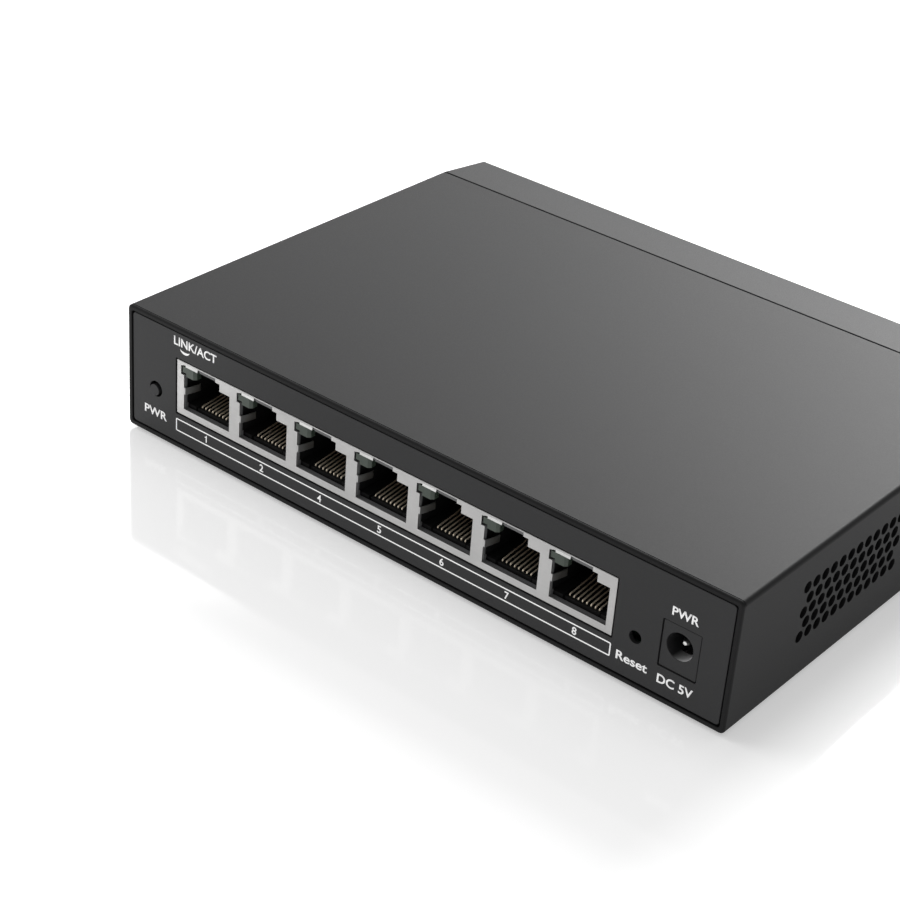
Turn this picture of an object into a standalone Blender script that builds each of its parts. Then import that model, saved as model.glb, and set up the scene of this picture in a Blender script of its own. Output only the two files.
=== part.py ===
"""Desktop network switch: a flat metal case with seven modular ports, a power inlet and a reset button.

All sizes below are in millimetres in case coordinates: x from the left side, y back from the front
edge, z up from the case's underside. case_point() turns them into the model's frame, in metres, whose
origin is on the table under the middle of the case, with +X right, +Y back and +Z up.
"""

import math

import bmesh
import bpy
from mathutils import Vector

MM = 0.001

# ------------------------------------------------------------------ driving dimensions
CASE_WIDTH = 140.0
CASE_HEIGHT = 26.2
CASE_DEPTH = 107.5
FOOT_STANDOFF = 0.6
GAP = 0.3

SHEET = 1.0
CASE_CORNER = 1.0
FRONT_EDGE = 0.4
CORNER_STEPS = 3
INNER_CORNER = 0.5

SEAM_Y = 93.2
SEAM_GAP = 0.3
REAR_DROP = 1.5
REAR_EDGE = 0.6
REAR_WALL = 1.4
SPIGOT_START = 89.0
SPIGOT_WALL = 1.1

PANEL_RECESS = 0.15
PANEL_LIP = 6.5
PANEL_LIP_INSET = 4.0

PORT_COUNT = 7
PORT_PITCH = 14.635
FIRST_PORT_X = 21.05
SHIELD_X = (13.15, 116.2)
SHIELD_Z = (7.75, 19.33)
SHIELD_FRONT = 0.2
SHIELD_BACK = 16.2
SHIELD_SHEET = 0.3
PLUG_HALF = 5.9
PLUG_Z = (9.95, 16.7)
WINDOW_LOW = 9.23
MOUTH_DEPTH = 0.6
STEP_HALF = 3.24
STEP_TOP = 18.33
LATCH_X = (-2.3, 2.14)
LATCH_TOP = 19.1
LIGHT_WINDOW_X = (-6.8, -2.3)
LIGHT_WINDOW_TOP = 18.47
CAVITY_BACK = 13.9
WINDOW_EASE = 0.1

CONTACT_COUNT = 8
CONTACT_PITCH = 0.9
CONTACT_WIRE = 0.34
CONTACT_PIVOT = (2.1, 9.3)
CONTACT_BEND_Z = 10.2
CONTACT_KNEE = (6.2, 11.65)
CONTACT_TIP = (11.4, 11.9)
CARRIER_HALF = 3.7
CARRIER_Y = (1.7, 3.0)
CARRIER_Z = (8.85, 9.7)

PIPE_X = (-6.5, -3.2)
PIPE_Z = (17.0, 18.25)
PIPE_FRONT = 0.35
PIPE_HEAD_X = (-5.6, -3.2)
PIPE_HEAD_BACK = 2.0
PIPE_HEAD_LOW = 16.3
PIPE_LEG_Y = (17.4, 19.4)
PIPE_LEG_BASE = 9.0
LINK_LED_SIZE = (2.4, 1.6, 1.3)

BOARD_X = (3.2, 136.8)
BOARD_Y = (2.4, 84.0)
BOARD_Z = (5.15, 6.75)
BOARD_HOLES = ((9.5, 24.0), (130.5, 24.0), (9.5, 78.0), (130.5, 78.0))
PART_BASE = BOARD_Z[1] + GAP

TRAY_X = (3.0, 137.0)
TRAY_Y = (9.2, 88.4)
TRAY_FLANGE_TOP = 14.0
STANDOFF_RADIUS = 3.0
BASE_SCREWS = ((40.0, 60.0), (100.0, 60.0))
REAR_SCREWS_X = (12.0, 128.0)
REAR_SCREW_Z = 10.5
BOSS_RADIUS = 3.6
SCREW_SHANK = 1.25
SCREW_HOLE = 1.6

FEET = ((12.0, 11.0), (128.0, 11.0), (12.0, 82.0), (128.0, 82.0))
FOOT_RADIUS = 5.0
FOOT_RECESS = 0.6

VENT_RADIUS = 1.125
VENT_ROWS_Z = (9.3, 11.8, 14.3, 16.8, 19.35)
VENT_PITCH = 2.8
VENT_START_Y = 20.7
VENT_COLUMNS = 12
VENT_SIDES = 6

LED_X = 7.15
LED_Z = 10.2
LED_RADIUS = 1.2
LED_HOLE_X = 7.45
LED_HOLE_Z = 10.5
LED_HOLE = 1.72
LED_Y = (0.06, 6.0)

RESET_X = 120.9
RESET_Z = 9.95
RESET_HOLE = 1.25
RESET_PLUNGER = 1.0
RESET_PLUNGER_Y = (2.4, 5.9)
RESET_SWITCH_Y = (4.9, 8.4)
RESET_SWITCH_HALF = 3.0

JACK_X = (125.85, 133.25)
JACK_Z = (PART_BASE, 16.2)
JACK_Y = (0.3, 12.8)
JACK_CENTRE = (129.42, 12.22)
JACK_BORE = 2.6
JACK_BORE_END = 10.4
JACK_PIN = 0.8
JACK_PIN_Y = (1.7, 13.6)
JACK_SPRING_PIVOT = (10.9, 9.05)
JACK_SPRING_TOP = (5.2, 10.05)
JACK_SPRING_FRONT = (3.4, 9.35)
JACK_SPRING_HALF = 0.7
JACK_SPRING_SHEET = 0.3


# ------------------------------------------------------------------ materials
def material(name, colour, roughness, metallic=0.0):
    """A Principled material, made once for each name."""
    found = bpy.data.materials.get(name)
    if found:
        return found
    made = bpy.data.materials.new(name)
    made.use_nodes = True
    shader = made.node_tree.nodes["Principled BSDF"]
    shader.inputs["Base Color"].default_value = (*colour, 1.0)
    shader.inputs["Roughness"].default_value = roughness
    shader.inputs["Metallic"].default_value = metallic
    return made


def case_paint():
    return material("case_paint", (0.085, 0.085, 0.09), 0.42, 0.2)


def panel_paint():
    return material("panel_paint", (0.042, 0.042, 0.045), 0.5, 0.1)


def tinned_steel():
    return material("tinned_steel", (0.62, 0.63, 0.61), 0.32, 1.0)


def zinc_steel():
    return material("zinc_steel", (0.5, 0.51, 0.52), 0.38, 1.0)


def port_plastic():
    return material("port_plastic", (0.012, 0.012, 0.013), 0.55)


def gold_contact():
    return material("gold_contact", (0.62, 0.42, 0.16), 0.28, 1.0)


def light_guide():
    return material("light_guide", (0.09, 0.12, 0.095), 0.22)


def smoked_lens():
    return material("smoked_lens", (0.03, 0.032, 0.034), 0.35)


def rubber():
    return material("rubber", (0.02, 0.02, 0.02), 0.85)


def board_green():
    return material("board_green", (0.02, 0.13, 0.05), 0.45)


def chip_plastic():
    return material("chip_plastic", (0.02, 0.02, 0.022), 0.5)


def led_plastic():
    return material("led_plastic", (0.75, 0.76, 0.7), 0.3)


def plain_aluminium():
    return material("plain_aluminium", (0.68, 0.69, 0.7), 0.35, 1.0)


def button_plastic():
    return material("button_plastic", (0.05, 0.05, 0.052), 0.45)


# ------------------------------------------------------------------ mesh helpers
def case_point(x, y, z):
    """Case coordinates in millimetres to the model's frame in metres."""
    return Vector((
        (x - CASE_WIDTH / 2) * MM,
        (y - CASE_DEPTH / 2) * MM,
        (z + FOOT_STANDOFF) * MM,
    ))


def port_x(index):
    """Middle of a port, counted from 0 at the left."""
    return FIRST_PORT_X + PORT_PITCH * index


def place(axis, across, up, along):
    """A point of a section that runs along the named axis, in case coordinates."""
    if axis == "x":
        return (along, across, up)
    if axis == "y":
        return (across, along, up)
    return (across, up, along)


def rounded_outline(left, right, low, high, radius, steps=CORNER_STEPS):
    """Outline of a rectangle with round corners, anticlockwise from the lower right corner."""
    corners = (
        (right - radius, low + radius, -90),
        (right - radius, high - radius, 0),
        (left + radius, high - radius, 90),
        (left + radius, low + radius, 180),
    )
    points = []
    for middle_x, middle_z, start in corners:
        for step in range(steps + 1):
            angle = math.radians(start + 90 * step / steps)
            points.append((middle_x + radius * math.cos(angle), middle_z + radius * math.sin(angle)))
    return points


def circle_outline(middle, radius, sides):
    """Outline of a circle with its corners clear of the axes."""
    points = []
    for side in range(sides):
        angle = 2 * math.pi * (side + 0.5) / sides
        points.append((middle[0] + radius * math.cos(angle), middle[1] + radius * math.sin(angle)))
    return points


def add_loft(mesh, axis, stations, ring=False):
    """Skin between outlines of equal point count; ring joins the last to the first, else both are capped."""
    loops = []
    for along, outline in stations:
        loops.append([mesh.verts.new(case_point(*place(axis, p[0], p[1], along))) for p in outline])
    pairs = list(zip(loops, loops[1:]))
    if ring:
        pairs.append((loops[-1], loops[0]))
    for first, second in pairs:
        for index in range(len(first)):
            after = (index + 1) % len(first)
            mesh.faces.new((first[index], first[after], second[after], second[index]))
    if not ring:
        mesh.faces.new(list(reversed(loops[0])))
        mesh.faces.new(loops[-1])


def add_prism(mesh, axis, outline, start, end):
    """A straight solid of the given outline."""
    add_loft(mesh, axis, ((start, outline), (end, outline)))


def add_box(mesh, x_span, y_span, z_span):
    """A box given by its spans."""
    outline = ((x_span[0], z_span[0]), (x_span[1], z_span[0]), (x_span[1], z_span[1]), (x_span[0], z_span[1]))
    add_prism(mesh, "y", outline, y_span[0], y_span[1])


def add_cylinder(mesh, axis, middle, radius, start, end, sides=16):
    """A cylinder about a line along the named axis."""
    add_prism(mesh, axis, circle_outline(middle, radius, sides), start, end)


def add_turned(mesh, axis, middle, profile, sides=16):
    """A turned solid: profile lists (along, radius) from one end to the other."""
    stations = [(along, circle_outline(middle, radius, sides)) for along, radius in profile]
    add_loft(mesh, axis, stations)


def finish_object(name, mesh, finish, origin=None):
    """Turn a bmesh into a named object, with its origin at a point given in case coordinates."""
    bmesh.ops.recalc_face_normals(mesh, faces=mesh.faces)
    centre = case_point(*origin) if origin else Vector((0.0, 0.0, 0.0))
    bmesh.ops.translate(mesh, vec=-centre, verts=mesh.verts)
    data = bpy.data.meshes.new(name)
    mesh.to_mesh(data)
    mesh.free()
    data.materials.append(finish)
    made = bpy.data.objects.new(name, data)
    made.location = centre
    bpy.context.scene.collection.objects.link(made)
    return made


def helper_object(name, mesh):
    """A cutter or an addition for a Boolean, kept out of the model."""
    made = finish_object(name, mesh, port_plastic())
    made.hide_render = True
    made.display_type = "WIRE"
    return made


def combine(target, other, operation):
    """Add a Boolean that joins or cuts one object with a helper."""
    modifier = target.modifiers.new(other.name, "BOOLEAN")
    modifier.operation = operation
    modifier.solver = "EXACT"
    modifier.object = other


def soften(target, width, segments=1):
    """Round off the sharp edges of a small part."""
    modifier = target.modifiers.new("edges", "BEVEL")
    modifier.width = width * MM
    modifier.segments = segments
    modifier.limit_method = "ANGLE"
    modifier.angle_limit = math.radians(40)


def smooth(target, angle=35):
    """Smooth shading on round faces, with crisp corners."""
    target.data.shade_smooth()
    target.data.set_sharp_from_angle(angle=math.radians(angle))


# ------------------------------------------------------------------ case
def vent_cutter():
    """Staggered holes that pass through both side walls at once."""
    mesh = bmesh.new()
    for row, height in enumerate(VENT_ROWS_Z):
        odd = row % 2
        for column in range(VENT_COLUMNS - odd):
            along = VENT_START_Y + VENT_PITCH * (column + 0.5 * odd)
            add_cylinder(mesh, "x", (along, height), VENT_RADIUS, -2.0, CASE_WIDTH + 2.0, VENT_SIDES)
    return helper_object("cut_vents", mesh)


def foot_recess_cutter():
    """Shallow round seats for the rubber feet."""
    mesh = bmesh.new()
    for middle in FEET:
        add_cylinder(mesh, "z", middle, FOOT_RADIUS + GAP, -2.0, FOOT_RECESS)
    return helper_object("cut_foot_seats", mesh)


def countersink_cutter():
    """Countersunk holes for the two flat-head screws in the underside."""
    mesh = bmesh.new()
    for middle in BASE_SCREWS:
        profile = ((-1.0, 2.9), (0.1, 2.9), (1.3, SCREW_HOLE), (2.0, SCREW_HOLE))
        add_turned(mesh, "z", middle, profile, 12)
    return helper_object("cut_countersinks", mesh)


def build_case_sleeve():
    """One-piece wrap-around shell, open at the front and the back."""
    outer = rounded_outline(0, CASE_WIDTH, 0, CASE_HEIGHT, CASE_CORNER)
    eased = rounded_outline(
        FRONT_EDGE, CASE_WIDTH - FRONT_EDGE, FRONT_EDGE, CASE_HEIGHT - FRONT_EDGE, CASE_CORNER - FRONT_EDGE)
    inner = rounded_outline(SHEET, CASE_WIDTH - SHEET, SHEET, CASE_HEIGHT - SHEET, INNER_CORNER)
    mesh = bmesh.new()
    stations = ((0, eased), (FRONT_EDGE, outer), (SEAM_Y, outer), (SEAM_Y, inner), (0, inner))
    add_loft(mesh, "y", stations, ring=True)
    sleeve = finish_object("case_sleeve", mesh, case_paint())
    combine(sleeve, foot_recess_cutter(), "DIFFERENCE")
    combine(sleeve, countersink_cutter(), "DIFFERENCE")
    combine(sleeve, vent_cutter(), "DIFFERENCE")


def rear_boss_addition():
    """Two tubes that carry the rear screws forward to the tray's flange."""
    mesh = bmesh.new()
    for across in REAR_SCREWS_X:
        middle = (across, REAR_SCREW_Z)
        add_cylinder(mesh, "y", middle, BOSS_RADIUS, TRAY_Y[1] + GAP, CASE_DEPTH - REAR_WALL / 2)
    return helper_object("add_rear_bosses", mesh)


def rear_hole_cutter():
    """Screw holes with counterbores for the heads."""
    mesh = bmesh.new()
    for across in REAR_SCREWS_X:
        profile = ((80.0, SCREW_HOLE), (105.4, SCREW_HOLE), (105.4, 2.9), (CASE_DEPTH + 1.0, 2.9))
        add_turned(mesh, "y", (across, REAR_SCREW_Z), profile, 12)
    return helper_object("cut_rear_holes", mesh)


def build_rear_cover():
    """Closed cap behind the seam, sloping down at the top, with a spigot inside the sleeve."""
    start = SEAM_Y + SEAM_GAP
    low_top = CASE_HEIGHT - REAR_DROP
    spigot = SHEET + GAP
    hollow = spigot + SPIGOT_WALL

    def outline(inset, top, radius):
        return rounded_outline(inset, CASE_WIDTH - inset, inset, top - inset, radius)

    stations = (
        (CASE_DEPTH - REAR_WALL, outline(hollow, low_top, INNER_CORNER)),
        (SPIGOT_START, outline(hollow, CASE_HEIGHT, INNER_CORNER)),
        (SPIGOT_START, outline(spigot, CASE_HEIGHT, INNER_CORNER)),
        (start, outline(spigot, CASE_HEIGHT, INNER_CORNER)),
        (start, outline(0, CASE_HEIGHT, CASE_CORNER)),
        (CASE_DEPTH - REAR_EDGE, outline(0, low_top, CASE_CORNER)),
        (CASE_DEPTH, outline(REAR_EDGE, low_top, CASE_CORNER - REAR_EDGE)),
    )
    mesh = bmesh.new()
    add_loft(mesh, "y", stations)
    cover = finish_object("rear_cover", mesh, case_paint())
    combine(cover, rear_boss_addition(), "UNION")
    combine(cover, rear_hole_cutter(), "DIFFERENCE")


def build_front_panel():
    """Inset front plate with folded lips, and cut-outs for the ports, jack, light and reset."""
    inset = SHEET + GAP
    back = PANEL_RECESS + SHEET
    mesh = bmesh.new()
    plate = rounded_outline(inset, CASE_WIDTH - inset, inset, CASE_HEIGHT - inset, INNER_CORNER)
    add_prism(mesh, "y", plate, PANEL_RECESS, back)
    panel = finish_object("front_panel", mesh, panel_paint())

    lips = bmesh.new()
    lip_x = (PANEL_LIP_INSET, CASE_WIDTH - PANEL_LIP_INSET)
    lip_y = (back - SHEET / 2, back + PANEL_LIP)
    add_box(lips, lip_x, lip_y, (inset + 0.01, inset + SHEET))
    add_box(lips, lip_x, lip_y, (CASE_HEIGHT - inset - SHEET, CASE_HEIGHT - inset - 0.01))
    combine(panel, helper_object("add_panel_lips", lips), "UNION")

    cuts = bmesh.new()
    through = (PANEL_RECESS - 1.0, back + 1.0)
    add_box(cuts, (SHIELD_X[0] - GAP, SHIELD_X[1] + GAP), through, (SHIELD_Z[0] - GAP, SHIELD_Z[1] + GAP))
    add_box(cuts, (JACK_X[0] - GAP, JACK_X[1] + GAP), through, (JACK_Z[0] - GAP, JACK_Z[1] + GAP))
    add_cylinder(cuts, "y", (LED_HOLE_X, LED_HOLE_Z), LED_HOLE, through[0], through[1], 20)
    add_cylinder(cuts, "y", (RESET_X, RESET_Z), RESET_HOLE, through[0], through[1], 16)
    combine(panel, helper_object("cut_panel_holes", cuts), "DIFFERENCE")


def build_board_tray():
    """Sheet tray on the case floor, with board stand-offs and a rear flange for the screws."""
    base = SHEET + GAP
    mesh = bmesh.new()
    add_box(mesh, TRAY_X, TRAY_Y, (base, base + SHEET))
    tray = finish_object("board_tray", mesh, zinc_steel())

    extra = bmesh.new()
    for middle in BOARD_HOLES:
        add_cylinder(extra, "z", middle, STANDOFF_RADIUS, base + SHEET / 2, BOARD_Z[0] - GAP, 12)
    flange = (TRAY_Y[1] - SHEET, TRAY_Y[1] - 0.01)
    add_box(extra, (TRAY_X[0] + 1.0, TRAY_X[1] - 1.0), flange, (base + SHEET / 2, TRAY_FLANGE_TOP))
    combine(tray, helper_object("add_tray_parts", extra), "UNION")

    cuts = bmesh.new()
    for middle in BOARD_HOLES + BASE_SCREWS:
        add_cylinder(cuts, "z", middle, SCREW_HOLE, 0.0, BOARD_Z[0] + 1.0, 12)
    for across in REAR_SCREWS_X:
        add_cylinder(cuts, "y", (across, REAR_SCREW_Z), SCREW_HOLE, TRAY_Y[1] - 3.0, TRAY_Y[1] + 1.0, 12)
    combine(tray, helper_object("cut_tray_holes", cuts), "DIFFERENCE")


def build_feet():
    """Four round rubber pads set into the underside."""
    for number, middle in enumerate(FEET, 1):
        mesh = bmesh.new()
        profile = (
            (-FOOT_STANDOFF, FOOT_RADIUS - 0.25),
            (-FOOT_STANDOFF + 0.25, FOOT_RADIUS),
            (FOOT_RECESS - GAP, FOOT_RADIUS),
        )
        add_turned(mesh, "z", middle, profile, 20)
        smooth(finish_object(f"foot_{number}", mesh, rubber()))


# ------------------------------------------------------------------ screws
def build_screw(name, axis, middle, profile):
    """A turned screw: profile lists (along, radius)."""
    mesh = bmesh.new()
    add_turned(mesh, axis, middle, profile, 12)
    smooth(finish_object(name, mesh, zinc_steel()))


def build_screws():
    """Board screws from above, flat-head screws from below and long screws from the rear."""
    head = PART_BASE
    for number, middle in enumerate(BOARD_HOLES, 1):
        profile = ((2.8, SCREW_SHANK), (head, SCREW_SHANK), (head, 2.6), (head + 1.2, 2.4), (head + 1.6, 1.6))
        build_screw(f"board_screw_{number}", "z", middle, profile)
    for number, middle in enumerate(BASE_SCREWS, 1):
        profile = ((0.1, 2.4), (0.3, 2.4), (1.35, SCREW_SHANK), (4.2, SCREW_SHANK))
        build_screw(f"base_screw_{number}", "z", middle, profile)
    for number, across in enumerate(REAR_SCREWS_X, 1):
        profile = ((85.0, SCREW_SHANK), (105.8, SCREW_SHANK), (105.8, 2.5), (106.7, 2.4), (107.2, 1.8))
        build_screw(f"rear_screw_{number}", "y", (across, REAR_SCREW_Z), profile)


# ------------------------------------------------------------------ ports
def plug_outline(middle, low, ease=0.0):
    """Outline of one modular plug's way in above a floor, with its latch steps, widened by ease."""
    left = middle - PLUG_HALF - ease
    right = middle + PLUG_HALF + ease
    shoulder = PLUG_Z[1] + ease
    step = middle + STEP_HALF + ease
    latch = (middle + LATCH_X[0] - ease, middle + LATCH_X[1] + ease)
    return (
        (left, low),
        (right, low),
        (right, shoulder),
        (step, shoulder),
        (step, STEP_TOP),
        (latch[1], STEP_TOP),
        (latch[1], LATCH_TOP),
        (latch[0], LATCH_TOP),
        (latch[0], shoulder),
        (left, shoulder),
    )


def light_channel_boxes(mesh, y_span):
    """Channels at the upper left of each port, which meet the latch recess."""
    for index in range(PORT_COUNT):
        middle = port_x(index)
        x_span = (middle + LIGHT_WINDOW_X[0], middle + LIGHT_WINDOW_X[1] + 0.15)
        add_box(mesh, x_span, y_span, (PLUG_Z[1] - 0.15, LIGHT_WINDOW_TOP))


def build_port_shield():
    """Thin metal hood over the whole row, open below, with a window for each port."""
    mesh = bmesh.new()
    add_box(mesh, SHIELD_X, (SHIELD_FRONT, SHIELD_BACK), SHIELD_Z)
    shield = finish_object("port_shield", mesh, tinned_steel())

    hollow = bmesh.new()
    add_box(
        hollow,
        (SHIELD_X[0] + SHIELD_SHEET, SHIELD_X[1] - SHIELD_SHEET),
        (SHIELD_FRONT + SHIELD_SHEET, SHIELD_BACK - SHIELD_SHEET),
        (0.0, SHIELD_Z[1] - SHIELD_SHEET))
    combine(shield, helper_object("cut_shield_hollow", hollow), "DIFFERENCE")

    windows = bmesh.new()
    for index in range(PORT_COUNT):
        outline = plug_outline(port_x(index), WINDOW_LOW, WINDOW_EASE)
        add_prism(windows, "y", outline, SHIELD_FRONT - 1.0, SHIELD_FRONT + SHIELD_SHEET + 0.1)
    combine(shield, helper_object("cut_shield_windows", windows), "DIFFERENCE")

    lights = bmesh.new()
    light_channel_boxes(lights, (SHIELD_FRONT - 1.5, SHIELD_BACK + 1.0))
    combine(shield, helper_object("cut_shield_light_windows", lights), "DIFFERENCE")


def build_port_housing():
    """Moulded block with a plug cavity, a contact slot and a light channel for each port."""
    skin = SHIELD_SHEET + GAP
    mesh = bmesh.new()
    add_box(
        mesh,
        (SHIELD_X[0] + skin, SHIELD_X[1] - skin),
        (SHIELD_FRONT + skin, SHIELD_BACK - skin),
        (PART_BASE, SHIELD_Z[1] - SHIELD_SHEET - 0.15))
    housing = finish_object("port_housing", mesh, port_plastic())

    cavities = bmesh.new()
    mouths = bmesh.new()
    slots = bmesh.new()
    for index in range(PORT_COUNT):
        middle = port_x(index)
        add_prism(cavities, "y", plug_outline(middle, PLUG_Z[0]), -1.0, CAVITY_BACK)
        mouth_x = (middle - PLUG_HALF, middle + PLUG_HALF)
        mouth_y = (-1.0, SHIELD_FRONT + skin + MOUTH_DEPTH)
        add_box(mouths, mouth_x, mouth_y, (WINDOW_LOW, PLUG_Z[0] + 1.0))
        slot_x = (middle - CARRIER_HALF - GAP, middle + CARRIER_HALF + GAP)
        add_box(slots, slot_x, (CARRIER_Y[0] - GAP, CARRIER_Y[1] + 2 * GAP), (5.0, PLUG_Z[0] + 0.5))
    combine(housing, helper_object("cut_plug_cavities", cavities), "DIFFERENCE")
    combine(housing, helper_object("cut_plug_mouths", mouths), "DIFFERENCE")
    combine(housing, helper_object("cut_contact_slots", slots), "DIFFERENCE")

    lights = bmesh.new()
    light_channel_boxes(lights, (-2.0, SHIELD_BACK + 1.5))
    combine(housing, helper_object("cut_light_channels", lights), "DIFFERENCE")

    foot = bmesh.new()
    behind_panel = PANEL_RECESS + SHEET + GAP
    add_box(foot, (0.0, CASE_WIDTH), (-1.0, behind_panel), (0.0, SHIELD_Z[0]))
    combine(housing, helper_object("cut_housing_foot", foot), "DIFFERENCE")


def contact_wires(middle):
    """Eight sprung wires that rise out of the floor near the mouth and slope up to the back."""
    half = CONTACT_WIRE / 2
    rise_y, _ = CONTACT_PIVOT
    knee_y, knee_z = CONTACT_KNEE
    tip_y, tip_z = CONTACT_TIP
    section = (
        (rise_y - half, CARRIER_Z[0] + 0.2),
        (rise_y + half, CARRIER_Z[0] + 0.2),
        (rise_y + half, CONTACT_BEND_Z - half),
        (knee_y, knee_z - half),
        (tip_y, tip_z - half),
        (tip_y, tip_z + half),
        (knee_y, knee_z + half),
        (rise_y - half, CONTACT_BEND_Z + half * 0.6),
    )
    mesh = bmesh.new()
    for wire in range(CONTACT_COUNT):
        across = middle + (wire - (CONTACT_COUNT - 1) / 2) * CONTACT_PITCH
        add_prism(mesh, "x", section, across - half, across + half)
    return mesh


def build_contact_sets():
    """One spring contact set for each port, turning about the strip it is moulded into."""
    for index in range(PORT_COUNT):
        middle = port_x(index)
        strip = bmesh.new()
        add_box(strip, (middle - CARRIER_HALF, middle + CARRIER_HALF), CARRIER_Y, CARRIER_Z)
        name = f"contact_set_{index + 1}"
        contact_set = finish_object(name, strip, gold_contact(), (middle, *CONTACT_PIVOT))
        wires = helper_object(f"add_contact_wires_{index + 1}", contact_wires(middle))
        combine(contact_set, wires, "UNION")


def build_link_lights():
    """A bent light pipe over each port, with the small lamp on the board that feeds it."""
    width, depth, height = LINK_LED_SIZE
    for index in range(PORT_COUNT):
        middle = port_x(index)
        pipe_x = (middle + PIPE_X[0], middle + PIPE_X[1])
        section = (
            (PIPE_FRONT, PIPE_Z[0]),
            (PIPE_LEG_Y[0], PIPE_Z[0]),
            (PIPE_LEG_Y[0], PIPE_LEG_BASE),
            (PIPE_LEG_Y[1], PIPE_LEG_BASE),
            (PIPE_LEG_Y[1], PIPE_Z[1] - 1.0),
            (PIPE_LEG_Y[1] - 1.0, PIPE_Z[1]),
            (PIPE_FRONT, PIPE_Z[1]),
        )
        mesh = bmesh.new()
        add_prism(mesh, "x", section, pipe_x[0], pipe_x[1])
        pipe = finish_object(f"link_light_pipe_{index + 1}", mesh, light_guide())
        head = bmesh.new()
        head_x = (middle + PIPE_HEAD_X[0], middle + PIPE_HEAD_X[1] - 0.01)
        add_box(head, head_x, (PIPE_FRONT + 0.01, PIPE_HEAD_BACK), (PIPE_HEAD_LOW, PIPE_Z[1] - 0.4))
        combine(pipe, helper_object(f"add_pipe_head_{index + 1}", head), "UNION")

        lamp_x = (pipe_x[0] + pipe_x[1]) / 2
        lamp_y = (PIPE_LEG_Y[0] + PIPE_LEG_Y[1]) / 2
        lamp = bmesh.new()
        add_box(
            lamp,
            (lamp_x - width / 2, lamp_x + width / 2),
            (lamp_y - depth / 2, lamp_y + depth / 2),
            (PART_BASE, PART_BASE + height))
        soften(finish_object(f"link_led_{index + 1}", lamp, led_plastic()), 0.15)


# ------------------------------------------------------------------ power light, reset and power inlet
def build_power_light():
    """A smoked lamp lens low in its panel hole, held by a block on the board."""
    start, end = LED_Y
    profile = (
        (start, LED_RADIUS - 0.25), (start + 0.08, LED_RADIUS - 0.08),
        (start + 0.3, LED_RADIUS), (end, LED_RADIUS),
    )
    mesh = bmesh.new()
    add_turned(mesh, "y", (LED_X, LED_Z), profile, 20)
    smooth(finish_object("power_led", mesh, smoked_lens()), 50)

    holder = bmesh.new()
    add_box(holder, (LED_X - 2.3, LED_X + 2.3), (end + GAP, end + 4.0), (PART_BASE, LED_Z + 2.2))
    soften(finish_object("power_led_holder", holder, chip_plastic()), 0.3)


def build_reset():
    """A side-push switch on the board behind a small hole, with a sprung plunger."""
    start, end = RESET_PLUNGER_Y
    mesh = bmesh.new()
    profile = ((start, RESET_PLUNGER - 0.2), (start + 0.2, RESET_PLUNGER), (end, RESET_PLUNGER))
    add_turned(mesh, "y", (RESET_X, RESET_Z), profile, 14)
    smooth(finish_object("reset_button", mesh, button_plastic(), (RESET_X, start, RESET_Z)))

    body = bmesh.new()
    x_span = (RESET_X - RESET_SWITCH_HALF, RESET_X + RESET_SWITCH_HALF)
    add_box(body, x_span, RESET_SWITCH_Y, (PART_BASE, RESET_Z + 2.6))
    switch = finish_object("reset_switch_body", body, chip_plastic())
    bore = bmesh.new()
    add_cylinder(bore, "y", (RESET_X, RESET_Z), RESET_PLUNGER + GAP, 2.0, RESET_SWITCH_Y[0] + 1.6, 12)
    combine(switch, helper_object("cut_reset_bore", bore), "DIFFERENCE")


def build_dc_jack():
    """Power inlet: moulded body, centre pin and sprung sleeve contact."""
    mesh = bmesh.new()
    add_box(mesh, JACK_X, JACK_Y, JACK_Z)
    body = finish_object("dc_jack_body", mesh, port_plastic())
    bore = bmesh.new()
    profile = (
        (-1.0, JACK_BORE), (JACK_BORE_END, JACK_BORE),
        (JACK_BORE_END, JACK_PIN + GAP), (JACK_Y[1] + 1.0, JACK_PIN + GAP),
    )
    add_turned(bore, "y", JACK_CENTRE, profile, 24)
    combine(body, helper_object("cut_jack_bore", bore), "DIFFERENCE")
    slot = bmesh.new()
    slot_half = JACK_SPRING_HALF + GAP
    slot_x = (JACK_CENTRE[0] - slot_half, JACK_CENTRE[0] + slot_half)
    add_box(slot, slot_x, (JACK_SPRING_FRONT[0] - 0.5, JACK_SPRING_PIVOT[0] + 0.7), (5.0, 10.6))
    combine(body, helper_object("cut_jack_slot", slot), "DIFFERENCE")

    pin = bmesh.new()
    start, end = JACK_PIN_Y
    profile = ((start, 0.4), (start + 0.15, 0.5), (start + 0.8, JACK_PIN), (end, JACK_PIN))
    add_turned(pin, "y", JACK_CENTRE, profile, 14)
    smooth(finish_object("dc_jack_pin", pin, tinned_steel()), 50)

    leaf = bmesh.new()
    sheet = JACK_SPRING_SHEET
    pivot_y, pivot_z = JACK_SPRING_PIVOT
    top_y, top_z = JACK_SPRING_TOP
    front_y, front_z = JACK_SPRING_FRONT
    section = (
        (front_y, front_z - sheet),
        (top_y, top_z - sheet),
        (pivot_y + 0.2, pivot_z - sheet / 2),
        (pivot_y + 0.2, pivot_z + sheet / 2),
        (top_y, top_z),
        (front_y, front_z),
    )
    half = JACK_SPRING_HALF
    add_prism(leaf, "x", section, JACK_CENTRE[0] - half, JACK_CENTRE[0] + half)
    finish_object("dc_jack_spring", leaf, tinned_steel(), (JACK_CENTRE[0], pivot_y, pivot_z))


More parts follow.
